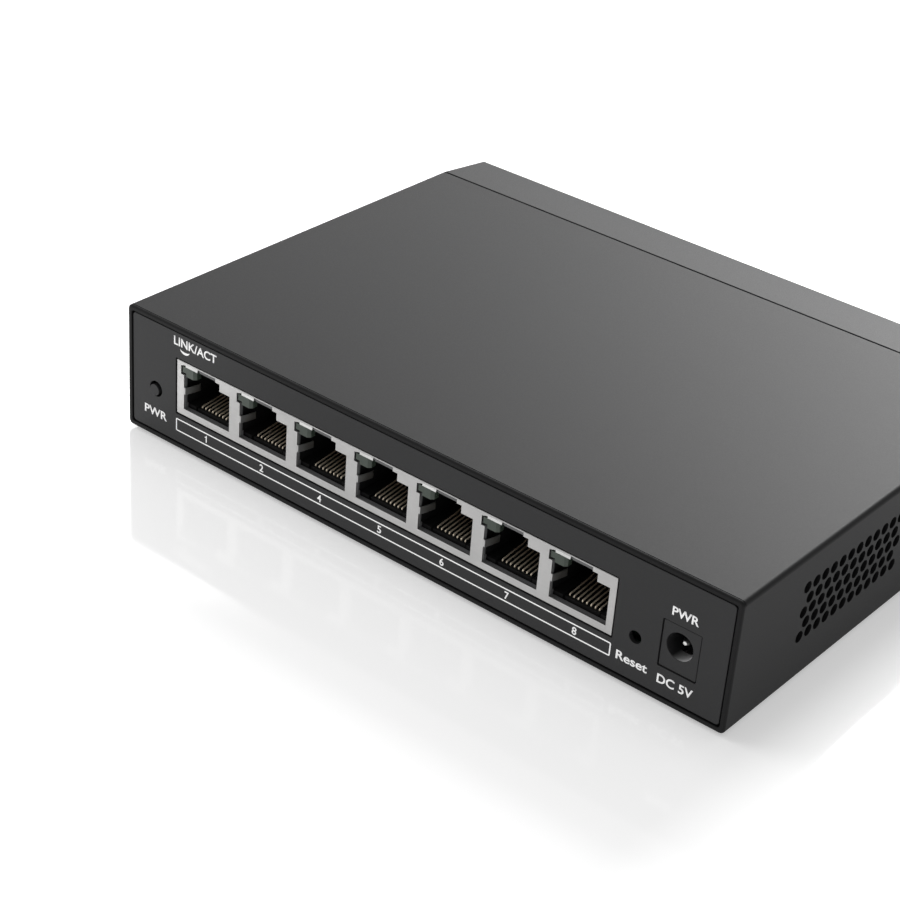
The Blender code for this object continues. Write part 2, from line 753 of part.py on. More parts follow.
# ------------------------------------------------------------------ circuit board and what it carries
def build_circuit_board():
    """Main board with its four fixing holes."""
    mesh = bmesh.new()
    outline = rounded_outline(BOARD_X[0], BOARD_X[1], BOARD_Y[0], BOARD_Y[1], 1.5)
    add_prism(mesh, "z", outline, BOARD_Z[0], BOARD_Z[1])
    board = finish_object("circuit_board", mesh, board_green())
    cuts = bmesh.new()
    for middle in BOARD_HOLES:
        add_cylinder(cuts, "z", middle, SCREW_HOLE, BOARD_Z[0] - 1.0, BOARD_Z[1] + 1.0, 12)
    combine(board, helper_object("cut_board_holes", cuts), "DIFFERENCE")


def build_block(name, middle, size, finish, edge=0.25):
    """A moulded block on the board, with its edges eased."""
    mesh = bmesh.new()
    x_span = (middle[0] - size[0] / 2, middle[0] + size[0] / 2)
    y_span = (middle[1] - size[1] / 2, middle[1] + size[1] / 2)
    add_box(mesh, x_span, y_span, (PART_BASE, PART_BASE + size[2]))
    soften(finish_object(name, mesh, finish), edge)


def build_heat_sink(middle, size, base, fins):
    """Finned aluminium block over the main chip."""
    left = middle[0] - size[0] / 2
    pitch = size[0] / (2 * fins - 1)
    low = PART_BASE + base
    floor = low + 1.6
    top = low + size[2]
    outline = [(left + size[0], low), (left + size[0], top)]
    for fin in range(2 * fins - 2, 0, -1):
        inner_first, inner_second = (top, floor) if fin % 2 == 0 else (floor, top)
        outline.append((left + pitch * fin, inner_first))
        outline.append((left + pitch * fin, inner_second))
    outline.append((left, top))
    outline.append((left, low))
    mesh = bmesh.new()
    add_prism(mesh, "y", outline, middle[1] - size[1] / 2, middle[1] + size[1] / 2)
    finish_object("heat_sink", mesh, plain_aluminium())


def build_capacitor(name, middle, radius, height):
    """Electrolytic capacitor on a square base."""
    mesh = bmesh.new()
    low = PART_BASE
    profile = (
        (low, radius), (low + 1.0, radius), (low + 1.3, radius - 0.25), (low + 1.7, radius),
        (low + height - 0.3, radius), (low + height, radius - 0.3),
    )
    add_turned(mesh, "z", middle, profile, 18)
    smooth(finish_object(name, mesh, plain_aluminium()))


def build_crystal(middle):
    """Timing crystal: a low metal can with round ends."""
    mesh = bmesh.new()
    outline = rounded_outline(middle[0] - 5.4, middle[0] + 5.4, middle[1] - 2.2, middle[1] + 2.2, 2.1, 4)
    add_prism(mesh, "z", outline, PART_BASE, PART_BASE + 3.4)
    smooth(finish_object("crystal", mesh, tinned_steel()))


def build_board_parts():
    """Chips, magnetics and power parts."""
    build_block("switch_chip", (66.0, 56.0), (20.0, 20.0, 1.4), chip_plastic())
    build_heat_sink((66.0, 56.0), (30.0, 30.0, 8.0), 1.4 + GAP, 8)
    for index in range(4):
        middle = (FIRST_PORT_X + PORT_PITCH * (2 * index + 0.5) - 3.5, 30.0)
        build_block(f"transformer_{index + 1}", middle, (24.0, 13.0, 5.6), chip_plastic(), 0.5)
    build_capacitor("capacitor_1", (122.0, 44.0), 4.0, 10.0)
    build_capacitor("capacitor_2", (122.0, 56.0), 3.15, 7.7)
    build_block("inductor", (108.0, 50.0), (8.0, 8.0, 4.2), chip_plastic(), 0.8)
    build_crystal((38.0, 52.0))
    build_block("flash_chip", (40.0, 66.0), (5.0, 4.0, 1.6), chip_plastic())
    build_block("voltage_regulator", (108.0, 64.0), (6.5, 6.0, 1.7), chip_plastic())


# ------------------------------------------------------------------ build
def main():
    for found in list(bpy.data.objects):
        bpy.data.objects.remove(found, do_unlink=True)
    build_case_sleeve()
    build_rear_cover()
    build_front_panel()
    build_board_tray()
    build_feet()
    build_screws()
    build_port_shield()
    build_port_housing()
    build_contact_sets()
    build_link_lights()
    build_power_light()
    build_reset()
    build_dc_jack()
    build_circuit_board()
    build_board_parts()


main()
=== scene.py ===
"""Looks for the desktop network switch: fine shells, ports, legends and finishes round the model."""

import math

import bmesh
import bpy
from mathutils import Matrix, Vector


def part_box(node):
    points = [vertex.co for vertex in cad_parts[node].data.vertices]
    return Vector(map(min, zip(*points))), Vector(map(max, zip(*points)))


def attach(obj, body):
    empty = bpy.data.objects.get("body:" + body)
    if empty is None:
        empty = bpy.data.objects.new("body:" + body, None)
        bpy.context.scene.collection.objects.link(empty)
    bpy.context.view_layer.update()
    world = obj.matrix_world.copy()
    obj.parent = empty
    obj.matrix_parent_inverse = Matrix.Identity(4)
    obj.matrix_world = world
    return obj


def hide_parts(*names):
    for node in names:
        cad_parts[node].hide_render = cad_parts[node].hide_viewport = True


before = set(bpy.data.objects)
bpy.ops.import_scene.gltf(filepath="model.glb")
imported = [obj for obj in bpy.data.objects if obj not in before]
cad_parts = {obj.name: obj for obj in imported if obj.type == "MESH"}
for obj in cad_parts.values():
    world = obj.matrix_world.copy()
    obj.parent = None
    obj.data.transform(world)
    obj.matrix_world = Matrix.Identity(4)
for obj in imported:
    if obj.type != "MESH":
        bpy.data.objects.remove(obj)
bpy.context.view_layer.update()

MM = 0.001

# ------------------------------------------------------------------ places read from the frame
SLEEVE_LOW, SLEEVE_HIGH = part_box("case_sleeve")
COVER_LOW, COVER_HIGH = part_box("rear_cover")
PANEL_LOW, PANEL_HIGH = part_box("front_panel")
HOOD_LOW, HOOD_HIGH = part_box("port_shield")
BLOCK_LOW, BLOCK_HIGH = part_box("port_housing")
JACK_LOW, JACK_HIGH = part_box("dc_jack_body")
PIN_LOW, PIN_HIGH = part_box("dc_jack_pin")
LENS_LOW, LENS_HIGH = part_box("power_led")
PLUNGER_LOW, PLUNGER_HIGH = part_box("reset_button")
PORT_COUNT = sum(node.startswith("contact_set_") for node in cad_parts)
FRONT = SLEEVE_LOW.y
BASE = SLEEVE_LOW.z


def middle_of(node):
    """Middle of a CAD node's box."""
    low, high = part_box(node)
    return (low + high) / 2


PORTS_X = [middle_of(f"contact_set_{number}").x for number in range(1, PORT_COUNT + 1)]

# ------------------------------------------------------------------ sizes of the fine shapes
SHEET = 1.0 * MM
CASE_CORNER = 1.0 * MM
FRONT_ROUND = 0.42 * MM
GROOVE_AT = 0.50 * MM
GROOVE_WIDTH = 0.20 * MM
GROOVE_DEPTH = 0.24 * MM
SEAM_ROUND = 0.12 * MM

CORNER_STEPS = 6

VENT_RADIUS = 1.125 * MM
VENT_PITCH = 2.8 * MM
VENT_ROWS = (9.3 * MM, 11.8 * MM, 14.3 * MM, 16.8 * MM, 19.35 * MM)
VENT_START = 20.7 * MM
VENT_COLUMNS = 12

FOOT_RADIUS = 5.0 * MM
FOOT_RECESS_RADIUS = 5.3 * MM
SHANK_RADIUS = 1.25 * MM
SHANK_HOLE_RADIUS = 1.6 * MM
HEAD_HOLE_RADIUS = 2.9 * MM

PLUG_HALF = 5.9 * MM
PLUG_LOW = 9.95 * MM
PLUG_TOP = 16.7 * MM
WINDOW_LOW = 9.23 * MM
STEP_HALF = 3.24 * MM
STEP_TOP = 18.33 * MM
LATCH = (-2.3 * MM, 2.14 * MM)
LATCH_TOP = 19.1 * MM
LIGHT_WINDOW = (-6.8 * MM, -2.3 * MM)
LIGHT_WINDOW_TOP = 18.47 * MM
HOOD_SHEET = 0.3 * MM
WINDOW_EASE = 0.1 * MM

# depths of the port block's features behind the case's front edge
LEDGE_BACK = 1.3 * MM
STEP_BACK = 1.5 * MM
ROOM_BACK = 13.2 * MM
CAVITY_BACK = 13.9 * MM

WIRE_COUNT = 8
WIRE_PITCH = 0.9 * MM
WIRE_WIDTH = 0.27 * MM
WIRE_HEIGHT = 0.26 * MM
WIRE_FRONT = 2.4 * MM
WIRE_FLOOR = 10.05 * MM
WIRE_KNEE = (8.0 * MM, 10.7 * MM)

BORE_RADIUS = 2.6 * MM
BORE_DEPTH = 10.1 * MM
PIN_HOLE_RADIUS = 1.1 * MM

STROKE_WEIGHT = 0.019
INK_THICK = 0.02 * MM
FACE = PANEL_LOW.y
INK_FRONT = FACE - INK_THICK
INK_BACK = FACE - INK_THICK * 0.1
NUMBER_BASELINE = BASE + 4.38 * MM
NUMBER_HEIGHT = 1.5 * MM

FLOOR_HALF = 6.0
FLOOR_THICK = 0.02
FLOOR_DROP = 0.0001


# ------------------------------------------------------------------ materials
def new_material(name):
    """An empty Principled material with its node tree and shader."""
    made = bpy.data.materials.new(name)
    made.use_nodes = True
    tree = made.node_tree
    return made, tree, tree.nodes["Principled BSDF"]


def object_coordinates(tree, scale=(1.0, 1.0, 1.0)):
    """Model coordinates in metres, stretched along each axis."""
    source = tree.nodes.new("ShaderNodeTexCoord")
    mapping = tree.nodes.new("ShaderNodeMapping")
    mapping.inputs["Scale"].default_value = scale
    tree.links.new(source.outputs["Object"], mapping.inputs["Vector"])
    return mapping.outputs["Vector"]


def noise(tree, vector, scale, detail=2.0, roughness=0.5):
    """A noise pattern; scale is in features per metre."""
    node = tree.nodes.new("ShaderNodeTexNoise")
    node.inputs["Scale"].default_value = scale
    node.inputs["Detail"].default_value = detail
    node.inputs["Roughness"].default_value = roughness
    tree.links.new(vector, node.inputs["Vector"])
    return node.outputs["Fac"]


def remap(tree, value, low, high, source=(0.3, 0.7)):
    """A pattern's values moved to lie between low and high."""
    node = tree.nodes.new("ShaderNodeMapRange")
    node.inputs["From Min"].default_value = source[0]
    node.inputs["From Max"].default_value = source[1]
    node.inputs["To Min"].default_value = low
    node.inputs["To Max"].default_value = high
    tree.links.new(value, node.inputs["Value"])
    return node.outputs["Result"]


def mix_colour(tree, share, first, second):
    """A colour between two, by a pattern."""
    node = tree.nodes.new("ShaderNodeMix")
    node.data_type = "RGBA"
    node.inputs["A"].default_value = (*first, 1.0)
    node.inputs["B"].default_value = (*second, 1.0)
    tree.links.new(share, node.inputs["Factor"])
    return node.outputs["Result"]


def add_bump(tree, shader, height, depth):
    """Surface relief of the given depth in metres."""
    node = tree.nodes.new("ShaderNodeBump")
    node.inputs["Strength"].default_value = 1.0
    node.inputs["Distance"].default_value = depth
    tree.links.new(height, node.inputs["Height"])
    tree.links.new(node.outputs["Normal"], shader.inputs["Normal"])


def tinted(colour, factor):
    """A colour made lighter or darker."""
    return tuple(min(part * factor, 1.0) for part in colour)


def grained(name, colour, roughness, grain=4000.0, depth=2e-6, spread=0.06, specular=0.5):
    """A moulded or coated surface: faint blotches, fine grain and uneven gloss."""
    made, tree, shader = new_material(name)
    place = object_coordinates(tree)
    blotch = remap(tree, noise(tree, place, 60.0, 3.0), 0.0, 1.0)
    colour_socket = mix_colour(tree, blotch, tinted(colour, 1 - spread), tinted(colour, 1 + spread))
    tree.links.new(colour_socket, shader.inputs["Base Color"])
    fine = noise(tree, place, grain)
    gloss = remap(tree, fine, roughness * 0.92, roughness * 1.08)
    tree.links.new(gloss, shader.inputs["Roughness"])
    shader.inputs["Specular IOR Level"].default_value = specular
    add_bump(tree, shader, fine, depth)
    return made


def brushed(name, colour, roughness, stretch):
    """Rolled or brushed metal with fine lines along the axis that is least stretched."""
    spread = 0.05
    made, tree, shader = new_material(name)
    lines = noise(tree, object_coordinates(tree, stretch), 900.0, 4.0, 0.6)
    cloud = remap(tree, noise(tree, object_coordinates(tree), 140.0, 3.0), 0.0, 1.0)
    colour_socket = mix_colour(tree, cloud, tinted(colour, 1 - spread), tinted(colour, 1 + spread))
    tree.links.new(colour_socket, shader.inputs["Base Color"])
    tree.links.new(remap(tree, lines, roughness * 0.85, roughness * 1.15), shader.inputs["Roughness"])
    shader.inputs["Metallic"].default_value = 1.0
    add_bump(tree, shader, lines, 1.5e-6)
    return made


def board_material():
    """Green solder mask with faint copper runs showing through."""
    made, tree, shader = new_material("solder_mask")
    place = object_coordinates(tree)
    bricks = tree.nodes.new("ShaderNodeTexBrick")
    bricks.inputs["Scale"].default_value = 160.0
    bricks.inputs["Mortar Size"].default_value = 0.03
    bricks.inputs["Color1"].default_value = (0.012, 0.085, 0.035, 1)
    bricks.inputs["Color2"].default_value = (0.016, 0.11, 0.045, 1)
    bricks.inputs["Mortar"].default_value = (0.03, 0.17, 0.07, 1)
    tree.links.new(place, bricks.inputs["Vector"])
    tree.links.new(bricks.outputs["Color"], shader.inputs["Base Color"])
    tree.links.new(remap(tree, noise(tree, place, 900.0), 0.3, 0.45), shader.inputs["Roughness"])
    add_bump(tree, shader, bricks.outputs["Fac"], 1e-5)
    return made


def share_along(tree, place, axis, span):
    """How far a place is along an axis of the model: 0 before the span and 1 behind it."""
    parts = tree.nodes.new("ShaderNodeSeparateXYZ")
    tree.links.new(place, parts.inputs["Vector"])
    return remap(tree, parts.outputs[axis], 0.0, 1.0, span)


def lit_and_shaded_metal(name, axis, span, first, second, roughness, metallic):
    """A metal whose colour changes along one axis of the model, between two places; used to paint light
    and shade onto a part.
    """
    made, tree, shader = new_material(name)
    place = object_coordinates(tree)
    share = share_along(tree, place, axis, span)
    tree.links.new(mix_colour(tree, share, first, second), shader.inputs["Base Color"])
    fine = noise(tree, place, 1500.0)
    tree.links.new(remap(tree, fine, roughness * 0.9, roughness * 1.1), shader.inputs["Roughness"])
    shader.inputs["Metallic"].default_value = metallic
    add_bump(tree, shader, fine, 0.8e-6)
    return made


def mouth_plastic():
    """Black moulding, greyer on the front few tenths of a millimetre of each mouth: painted light at the
    lit front and painted shade deeper in.
    """
    made, tree, shader = new_material("port_plastic")
    place = object_coordinates(tree)
    depth = share_along(tree, place, "Y", (FRONT + 1.25 * MM, FRONT + 1.4 * MM))
    # grey at the mouth and black inside: painted light at the front of the mouth, painted shade further
    # in
    colour = mix_colour(tree, depth, (0.15, 0.15, 0.153), (0.006, 0.006, 0.0062))
    tree.links.new(colour, shader.inputs["Base Color"])
    tree.links.new(remap(tree, depth, 0.45, 0.7, (0.0, 1.0)), shader.inputs["Roughness"])
    shader.inputs["Specular IOR Level"].default_value = 0.3
    add_bump(tree, shader, noise(tree, place, 3000.0), 2.5e-6)
    return made


CASE_PAINT = grained("case_paint", (0.0125, 0.0125, 0.013), 0.50, 5200.0, 2.2e-6, 0.03, 0.13)
PANEL_PAINT = grained("panel_paint", (0.027, 0.027, 0.028), 0.52, 5200.0, 2.0e-6, 0.03, 0.3)
HOOD_METAL = brushed("tinned_steel", (0.53, 0.525, 0.52), 0.42, (0.25, 1.0, 3.0))
# a darker copy of the hood's tinned steel: painted shade on the tongues inside the port mouths
FINGER_SHADED_METAL = brushed("tinned_steel_painted_shade", (0.33, 0.335, 0.335), 0.45, (1.0, 0.25, 3.0))
PIN_METAL = brushed("pin_metal", (0.75, 0.75, 0.73), 0.22, (3.0, 0.25, 3.0))
# near black left of the pin and light grey right of it: painted shade on the left and painted light on
# the lower right of the bore
LINER_LIT_METAL = lit_and_shaded_metal(
    "matt_nickel_painted_light", "X", (middle_of("dc_jack_pin").x - 1.2 * MM, middle_of("dc_jack_pin").x + 0.8 * MM),
    (0.03, 0.03, 0.03), (0.62, 0.62, 0.62), 0.4, 0.2)
# bright at the tip and near black behind it: a painted highlight on the tip and painted shade on the
# pin's sides
PIN_TIP_METAL = lit_and_shaded_metal(
    "pin_tip", "Y", (PIN_LOW.y + 0.1 * MM, PIN_LOW.y + 0.7 * MM),
    (0.86, 0.86, 0.84), (0.10, 0.10, 0.10), 0.3, 1.0)
SCREW_METAL = brushed("zinc_steel", (0.52, 0.53, 0.55), 0.35, (1.0, 1.0, 1.0))
# lighter at the front of the port and darker behind: painted light and highlight on the wire fronts,
# painted shade further back
GOLD = lit_and_shaded_metal(
    "gold_contact", "Y", (FRONT + 2.6 * MM, FRONT + 6.5 * MM),
    (0.98, 0.86, 0.68), (0.60, 0.46, 0.33), 0.38, 0.45)
PORT_PLASTIC = mouth_plastic()
JACK_PLASTIC = grained("jack_plastic", (0.026, 0.026, 0.027), 0.5, 3600.0, 2.0e-6, 0.05, 0.3)
LIGHT_GUIDE = grained("light_guide", (0.048, 0.066, 0.050), 0.35, 1800.0, 1.5e-6, 0.08)
LENS_PLASTIC = grained("lens_plastic", (0.028, 0.028, 0.029), 0.52, 4200.0, 1.5e-6, 0.04, 0.3)
BUTTON_PLASTIC = grained("button_plastic", (0.05, 0.05, 0.052), 0.45)
RUBBER = grained("rubber", (0.018, 0.018, 0.018), 0.8, 2200.0, 8e-6, 0.15, 0.3)
CHIP_PLASTIC = grained("chip_plastic", (0.018, 0.018, 0.020), 0.5, 3000.0, 3e-6, 0.1)
LED_PLASTIC = grained("led_plastic", (0.72, 0.74, 0.66), 0.3, 1500.0, 1e-6, 0.05)
ALUMINIUM = brushed("plain_aluminium", (0.72, 0.73, 0.74), 0.34, (0.3, 1.0, 3.0))
INK = grained("legend_ink", (0.92, 0.92, 0.92), 0.55, 4000.0, 1e-6, 0.02)
INK_SHADER = INK.node_tree.nodes["Principled BSDF"]
# the print is real, but its faint glow is painted light that keeps it bright
INK_SHADER.inputs["Emission Color"].default_value = (1.0, 1.0, 1.0, 1.0)
INK_SHADER.inputs["Emission Strength"].default_value = 0.22
# a lighter copy of the hood's tinned steel: a painted highlight along each brow
BROW_HIGHLIGHT_METAL = brushed("tinned_steel_painted_highlight", (0.72, 0.72, 0.71), 0.38, (0.25, 1.0, 3.0))
SOLDER_MASK = board_material()


# ------------------------------------------------------------------ mesh helpers
def section_point(axis, across, up, along):
    """A point of a section that runs along the named axis."""
    if axis == "x":
        return (along, across, up)
    if axis == "y":
        return (across, along, up)
    return (across, up, along)


def centre_xz(low, high):
    """Middle of a box as seen from the front."""
    return ((low.x + high.x) / 2, (low.z + high.z) / 2)


def rounded_outline(left, right, low, high, radius, steps=CORNER_STEPS):
    """Outline of a rectangle with round corners."""
    corners = (
        (right - radius, low + radius, -90),
        (right - radius, high - radius, 0),
        (left + radius, high - radius, 90),
        (left + radius, low + radius, 180),
    )
    points = []
    for middle_x, middle_z, start in corners:
        for step in range(steps + 1):
            angle = math.radians(start + 90 * step / steps)
            points.append((middle_x + radius * math.cos(angle), middle_z + radius * math.sin(angle)))
    return points


def circle_outline(middle, radius, sides):
    """Outline of a circle."""
    points = []
    for side in range(sides):
        angle = 2 * math.pi * (side + 0.5) / sides
        points.append((middle[0] + radius * math.cos(angle), middle[1] + radius * math.sin(angle)))
    return points


def add_skin(mesh, loops, ring=False):
    """Faces between loops of vertices, closed by end caps or, for a ring, by joining the ends."""
    pairs = list(zip(loops, loops[1:]))
    if ring:
        pairs.append((loops[-1], loops[0]))
    for first, second in pairs:
        for index in range(len(first)):
            after = (index + 1) % len(first)
            mesh.faces.new((first[index], first[after], second[after], second[index]))
    if not ring:
        mesh.faces.new(list(reversed(loops[0])))
        mesh.faces.new(loops[-1])


def add_loft(mesh, axis, stations, ring=False):
    """Skin between outlines of equal point count."""
    loops = []
    for along, outline in stations:
        loops.append([mesh.verts.new(section_point(axis, p[0], p[1], along)) for p in outline])
    add_skin(mesh, loops, ring)


def add_prism(mesh, axis, outline, start, end):
    """A straight solid of the given outline."""
    add_loft(mesh, axis, ((start, outline), (end, outline)))


def add_box(mesh, x_span, y_span, z_span):
    """A box given by its spans."""
    left, right = x_span
    low, high = z_span
    outline = ((left, low), (right, low), (right, high), (left, high))
    add_prism(mesh, "y", outline, y_span[0], y_span[1])


def add_turned(mesh, axis, middle, profile, sides):
    """A turned solid: profile lists (along, radius)."""
    add_loft(mesh, axis, [(along, circle_outline(middle, radius, sides)) for along, radius in profile])


def object_from(name, mesh, finish=None):
    """A linked object made of a bmesh, in the model's frame."""
    bmesh.ops.recalc_face_normals(mesh, faces=mesh.faces)
    data = bpy.data.meshes.new(name)
    mesh.to_mesh(data)
    mesh.free()
    if finish:
        data.materials.append(finish)
    made = bpy.data.objects.new(name, data)
    bpy.context.scene.collection.objects.link(made)
    return made


def apply_modifiers(target):
    """Replace an object's mesh by its evaluated one."""
    graph = bpy.context.evaluated_depsgraph_get()
    data = bpy.data.meshes.new_from_object(target.evaluated_get(graph))
    target.modifiers.clear()
    target.data = data


def combine(target, mesh, operation):
    """Cut a bmesh out of an object, or join it on; the solids in the bmesh must not overlap."""
    other = object_from("other", mesh)
    modifier = target.modifiers.new("combine", "BOOLEAN")
    modifier.operation = operation
    modifier.solver = "EXACT"
    modifier.object = other
    apply_modifiers(target)
    bpy.data.objects.remove(other)


def ease_edges(target, width, segments=2):
    """Round off every edge that turns by more than 35 degrees."""
    modifier = target.modifiers.new("edges", "BEVEL")
    modifier.width = width
    modifier.segments = segments
    modifier.limit_method = "ANGLE"
    modifier.angle_limit = math.radians(35)
    modifier.harden_normals = False
    apply_modifiers(target)


def shade(target, angle=32):
    """Smooth shading with flat broad faces; an edge that turns by more than the angle stays crisp."""
    target.data.shade_smooth()
    target.data.set_sharp_from_angle(angle=math.radians(angle))
    modifier = target.modifiers.new("normals", "WEIGHTED_NORMAL")
    modifier.keep_sharp = True
    apply_modifiers(target)


def install(target, body, slot, *nodes):
    """Tie a finished piece to its body and hide the CAD nodes it stands for; the slot argument is not
    used.
    """
    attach(target, body)
    if nodes:
        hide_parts(*nodes)


# ------------------------------------------------------------------ case
def vent_cutter():
    """Staggered round holes through both side walls."""
    mesh = bmesh.new()
    profile = ((SLEEVE_LOW.x - MM, VENT_RADIUS), (SLEEVE_HIGH.x + MM, VENT_RADIUS))
    for row, height in enumerate(VENT_ROWS):
        odd = row % 2
        for column in range(VENT_COLUMNS - odd):
            along = FRONT + VENT_START + VENT_PITCH * (column + 0.5 * odd)
            add_turned(mesh, "x", (along, BASE + height), profile, 24)
    return mesh


def case_outline(inset, radius, drop=0.0):
    """Outline of the case, moved inwards by inset; drop lowers its top side only."""
    return rounded_outline(
        SLEEVE_LOW.x + inset, SLEEVE_HIGH.x - inset, BASE + inset, SLEEVE_HIGH.z - inset - drop, radius)


def make_case_shell():
    """Wrap-around shell with a rounded front edge and a fine groove behind it."""
    stations = []
    for step in range(CORNER_STEPS + 1):
        angle = math.radians(90 * step / CORNER_STEPS)
        along = FRONT + FRONT_ROUND * (1 - math.cos(angle))
        inset = FRONT_ROUND * (1 - math.sin(angle))
        stations.append((along, case_outline(inset, CASE_CORNER - inset)))
    groove = FRONT + GROOVE_AT
    full = case_outline(0, CASE_CORNER)
    stations += [
        (groove, full),
        (groove + GROOVE_WIDTH / 2, case_outline(0, CASE_CORNER, GROOVE_DEPTH)),
        (groove + GROOVE_WIDTH, full),
        (SLEEVE_HIGH.y - SEAM_ROUND, full),
        (SLEEVE_HIGH.y, case_outline(SEAM_ROUND, CASE_CORNER - SEAM_ROUND)),
        (SLEEVE_HIGH.y, case_outline(SHEET, 0.5 * MM)),
        (FRONT + 0.08 * MM, case_outline(SHEET, 0.5 * MM)),
        (FRONT, case_outline(SHEET - 0.08 * MM, 0.55 * MM)),
    ]
    mesh = bmesh.new()
    add_loft(mesh, "y", stations, ring=True)
    shell = object_from("case_shell", mesh, CASE_PAINT)
    combine(shell, vent_cutter(), "DIFFERENCE")
    underside = bmesh.new()
    recess = ((BASE - MM, FOOT_RECESS_RADIUS), (BASE + 0.6 * MM, FOOT_RECESS_RADIUS))
    for number in range(1, 5):
        foot = middle_of(f"foot_{number}")
        add_turned(underside, "z", (foot.x, foot.y), recess, 48)
    countersink = (
        (BASE - MM, HEAD_HOLE_RADIUS), (BASE + 0.1 * MM, HEAD_HOLE_RADIUS),
        (BASE + 1.3 * MM, SHANK_HOLE_RADIUS), (BASE + 2 * MM, SHANK_HOLE_RADIUS),
    )
    for number in (1, 2):
        screw = middle_of(f"base_screw_{number}")
        add_turned(underside, "z", (screw.x, screw.y), countersink, 32)
    combine(shell, underside, "DIFFERENCE")
    shade(shell)
    install(shell, "case", "case_paint", "case_sleeve")


def make_rear_cap():
    """Rear cap whose top slopes down, with rounded rear edges and a spigot in the sleeve."""
    rear_drop = 1.5 * MM
    rear_round = 0.6 * MM
    start = SLEEVE_HIGH.y + 0.3 * MM
    end = COVER_HIGH.y

    def section(inset, share, radius):
        return case_outline(inset, radius, rear_drop * share)

    spigot = SHEET + 0.3 * MM
    hollow = spigot + 1.1 * MM
    stations = [
        (end - 1.4 * MM, section(hollow, 1, 0.5 * MM)),
        (COVER_LOW.y, section(hollow, 0, 0.5 * MM)),
        (COVER_LOW.y, section(spigot, 0, 0.5 * MM)),
        (start, section(spigot, 0, 0.5 * MM)),
        (start, section(SEAM_ROUND, 0, CASE_CORNER - SEAM_ROUND)),
        (start + SEAM_ROUND, section(0, 0, CASE_CORNER)),
    ]
    for step in range(CORNER_STEPS + 1):
        angle = math.radians(90 * step / CORNER_STEPS)
        along = end - rear_round * (1 - math.sin(angle))
        inset = rear_round * (1 - math.cos(angle))
        stations.append((along, section(inset, 1, CASE_CORNER - inset)))
    mesh = bmesh.new()
    add_loft(mesh, "y", stations)
    cap = object_from("rear_cap", mesh, CASE_PAINT)
    boss_radius = 3.6 * MM
    mouth_radius = 3.05 * MM
    seat = end - 2.1 * MM
    bosses = bmesh.new()
    holes = bmesh.new()
    for number in (1, 2):
        low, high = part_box(f"rear_screw_{number}")
        centre = centre_xz(low, high)
        boss = ((COVER_LOW.y - 0.3 * MM, boss_radius), (end - 0.7 * MM, boss_radius))
        add_turned(bosses, "y", centre, boss, 32)
        profile = (
            (low.y, SHANK_HOLE_RADIUS), (seat, SHANK_HOLE_RADIUS), (seat, HEAD_HOLE_RADIUS),
            (end - 0.15 * MM, HEAD_HOLE_RADIUS), (end, mouth_radius), (end + MM, mouth_radius),
        )
        add_turned(holes, "y", centre, profile, 40)
    combine(cap, bosses, "UNION")
    combine(cap, holes, "DIFFERENCE")
    shade(cap)
    install(cap, "case", "case_paint", "rear_cover")


def make_face_plate():
    """Inset front plate with folded lips, its cut-outs and round holes."""
    back = PANEL_LOW.y + SHEET
    low_x, high_x = PANEL_LOW.x, PANEL_HIGH.x
    low_z, high_z = PANEL_LOW.z, PANEL_HIGH.z
    edge = 0.07 * MM
    outline = rounded_outline(low_x, high_x, low_z, high_z, 0.67 * MM)
    eased = rounded_outline(low_x + edge, high_x - edge, low_z + edge, high_z - edge, 0.6 * MM)
    mesh = bmesh.new()
    add_loft(mesh, "y", ((PANEL_LOW.y, eased), (PANEL_LOW.y + edge, outline), (back, outline)))
    plate = object_from("face_plate", mesh, PANEL_PAINT)
    lips = bmesh.new()
    lip_x = (low_x + 2.7 * MM, high_x - 2.7 * MM)
    lip_y = (back - SHEET / 2, PANEL_HIGH.y)
    add_box(lips, lip_x, lip_y, (low_z + 0.01 * MM, low_z + SHEET))
    add_box(lips, lip_x, lip_y, (high_z - SHEET, high_z - 0.01 * MM))
    combine(plate, lips, "UNION")
    through = (PANEL_LOW.y - MM, back + 0.5 * MM)
    cuts = bmesh.new()
    for low, high, gap in ((HOOD_LOW, HOOD_HIGH, 0.3 * MM), (JACK_LOW, JACK_HIGH, 0.17 * MM)):
        opening = rounded_outline(low.x - gap, high.x + gap, low.z - gap, high.z + gap, 0.3 * MM)
        add_prism(cuts, "y", opening, *through)
    # the lens stands low and left in its hole, so the hole's middle is offset from it
    lens = middle_of("power_led")
    offset = 0.36 * MM
    add_prism(cuts, "y", circle_outline((lens.x + offset, lens.z + offset), 1.66 * MM, 48), *through)
    plunger = middle_of("reset_button")
    add_prism(cuts, "y", circle_outline((plunger.x, plunger.z), 1.25 * MM, 48), *through)
    combine(plate, cuts, "DIFFERENCE")
    shade(plate)
    install(plate, "case", "panel_paint", "front_panel")


def make_feet():
    """Round rubber pads with a soft lower edge."""
    for number in range(1, 5):
        low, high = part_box(f"foot_{number}")
        centre = ((low.x + high.x) / 2, (low.y + high.y) / 2)
        soft = 0.25 * MM
        profile = [(low.z, FOOT_RADIUS * 0.82), (low.z + 0.02 * MM, FOOT_RADIUS * 0.86)]
        for step in range(5):
            angle = math.radians(90 * step / 4)
            along = low.z + 0.05 * MM + soft * (1 - math.cos(angle))
            profile.append((along, FOOT_RADIUS - soft * (1 - math.sin(angle))))
        profile.append((high.z, FOOT_RADIUS))
        mesh = bmesh.new()
        add_turned(mesh, "z", centre, profile, 48)
        pad = object_from(f"foot_pad_{number}", mesh, RUBBER)
        shade(pad, 50)
        install(pad, "case", "rubber", f"foot_{number}")


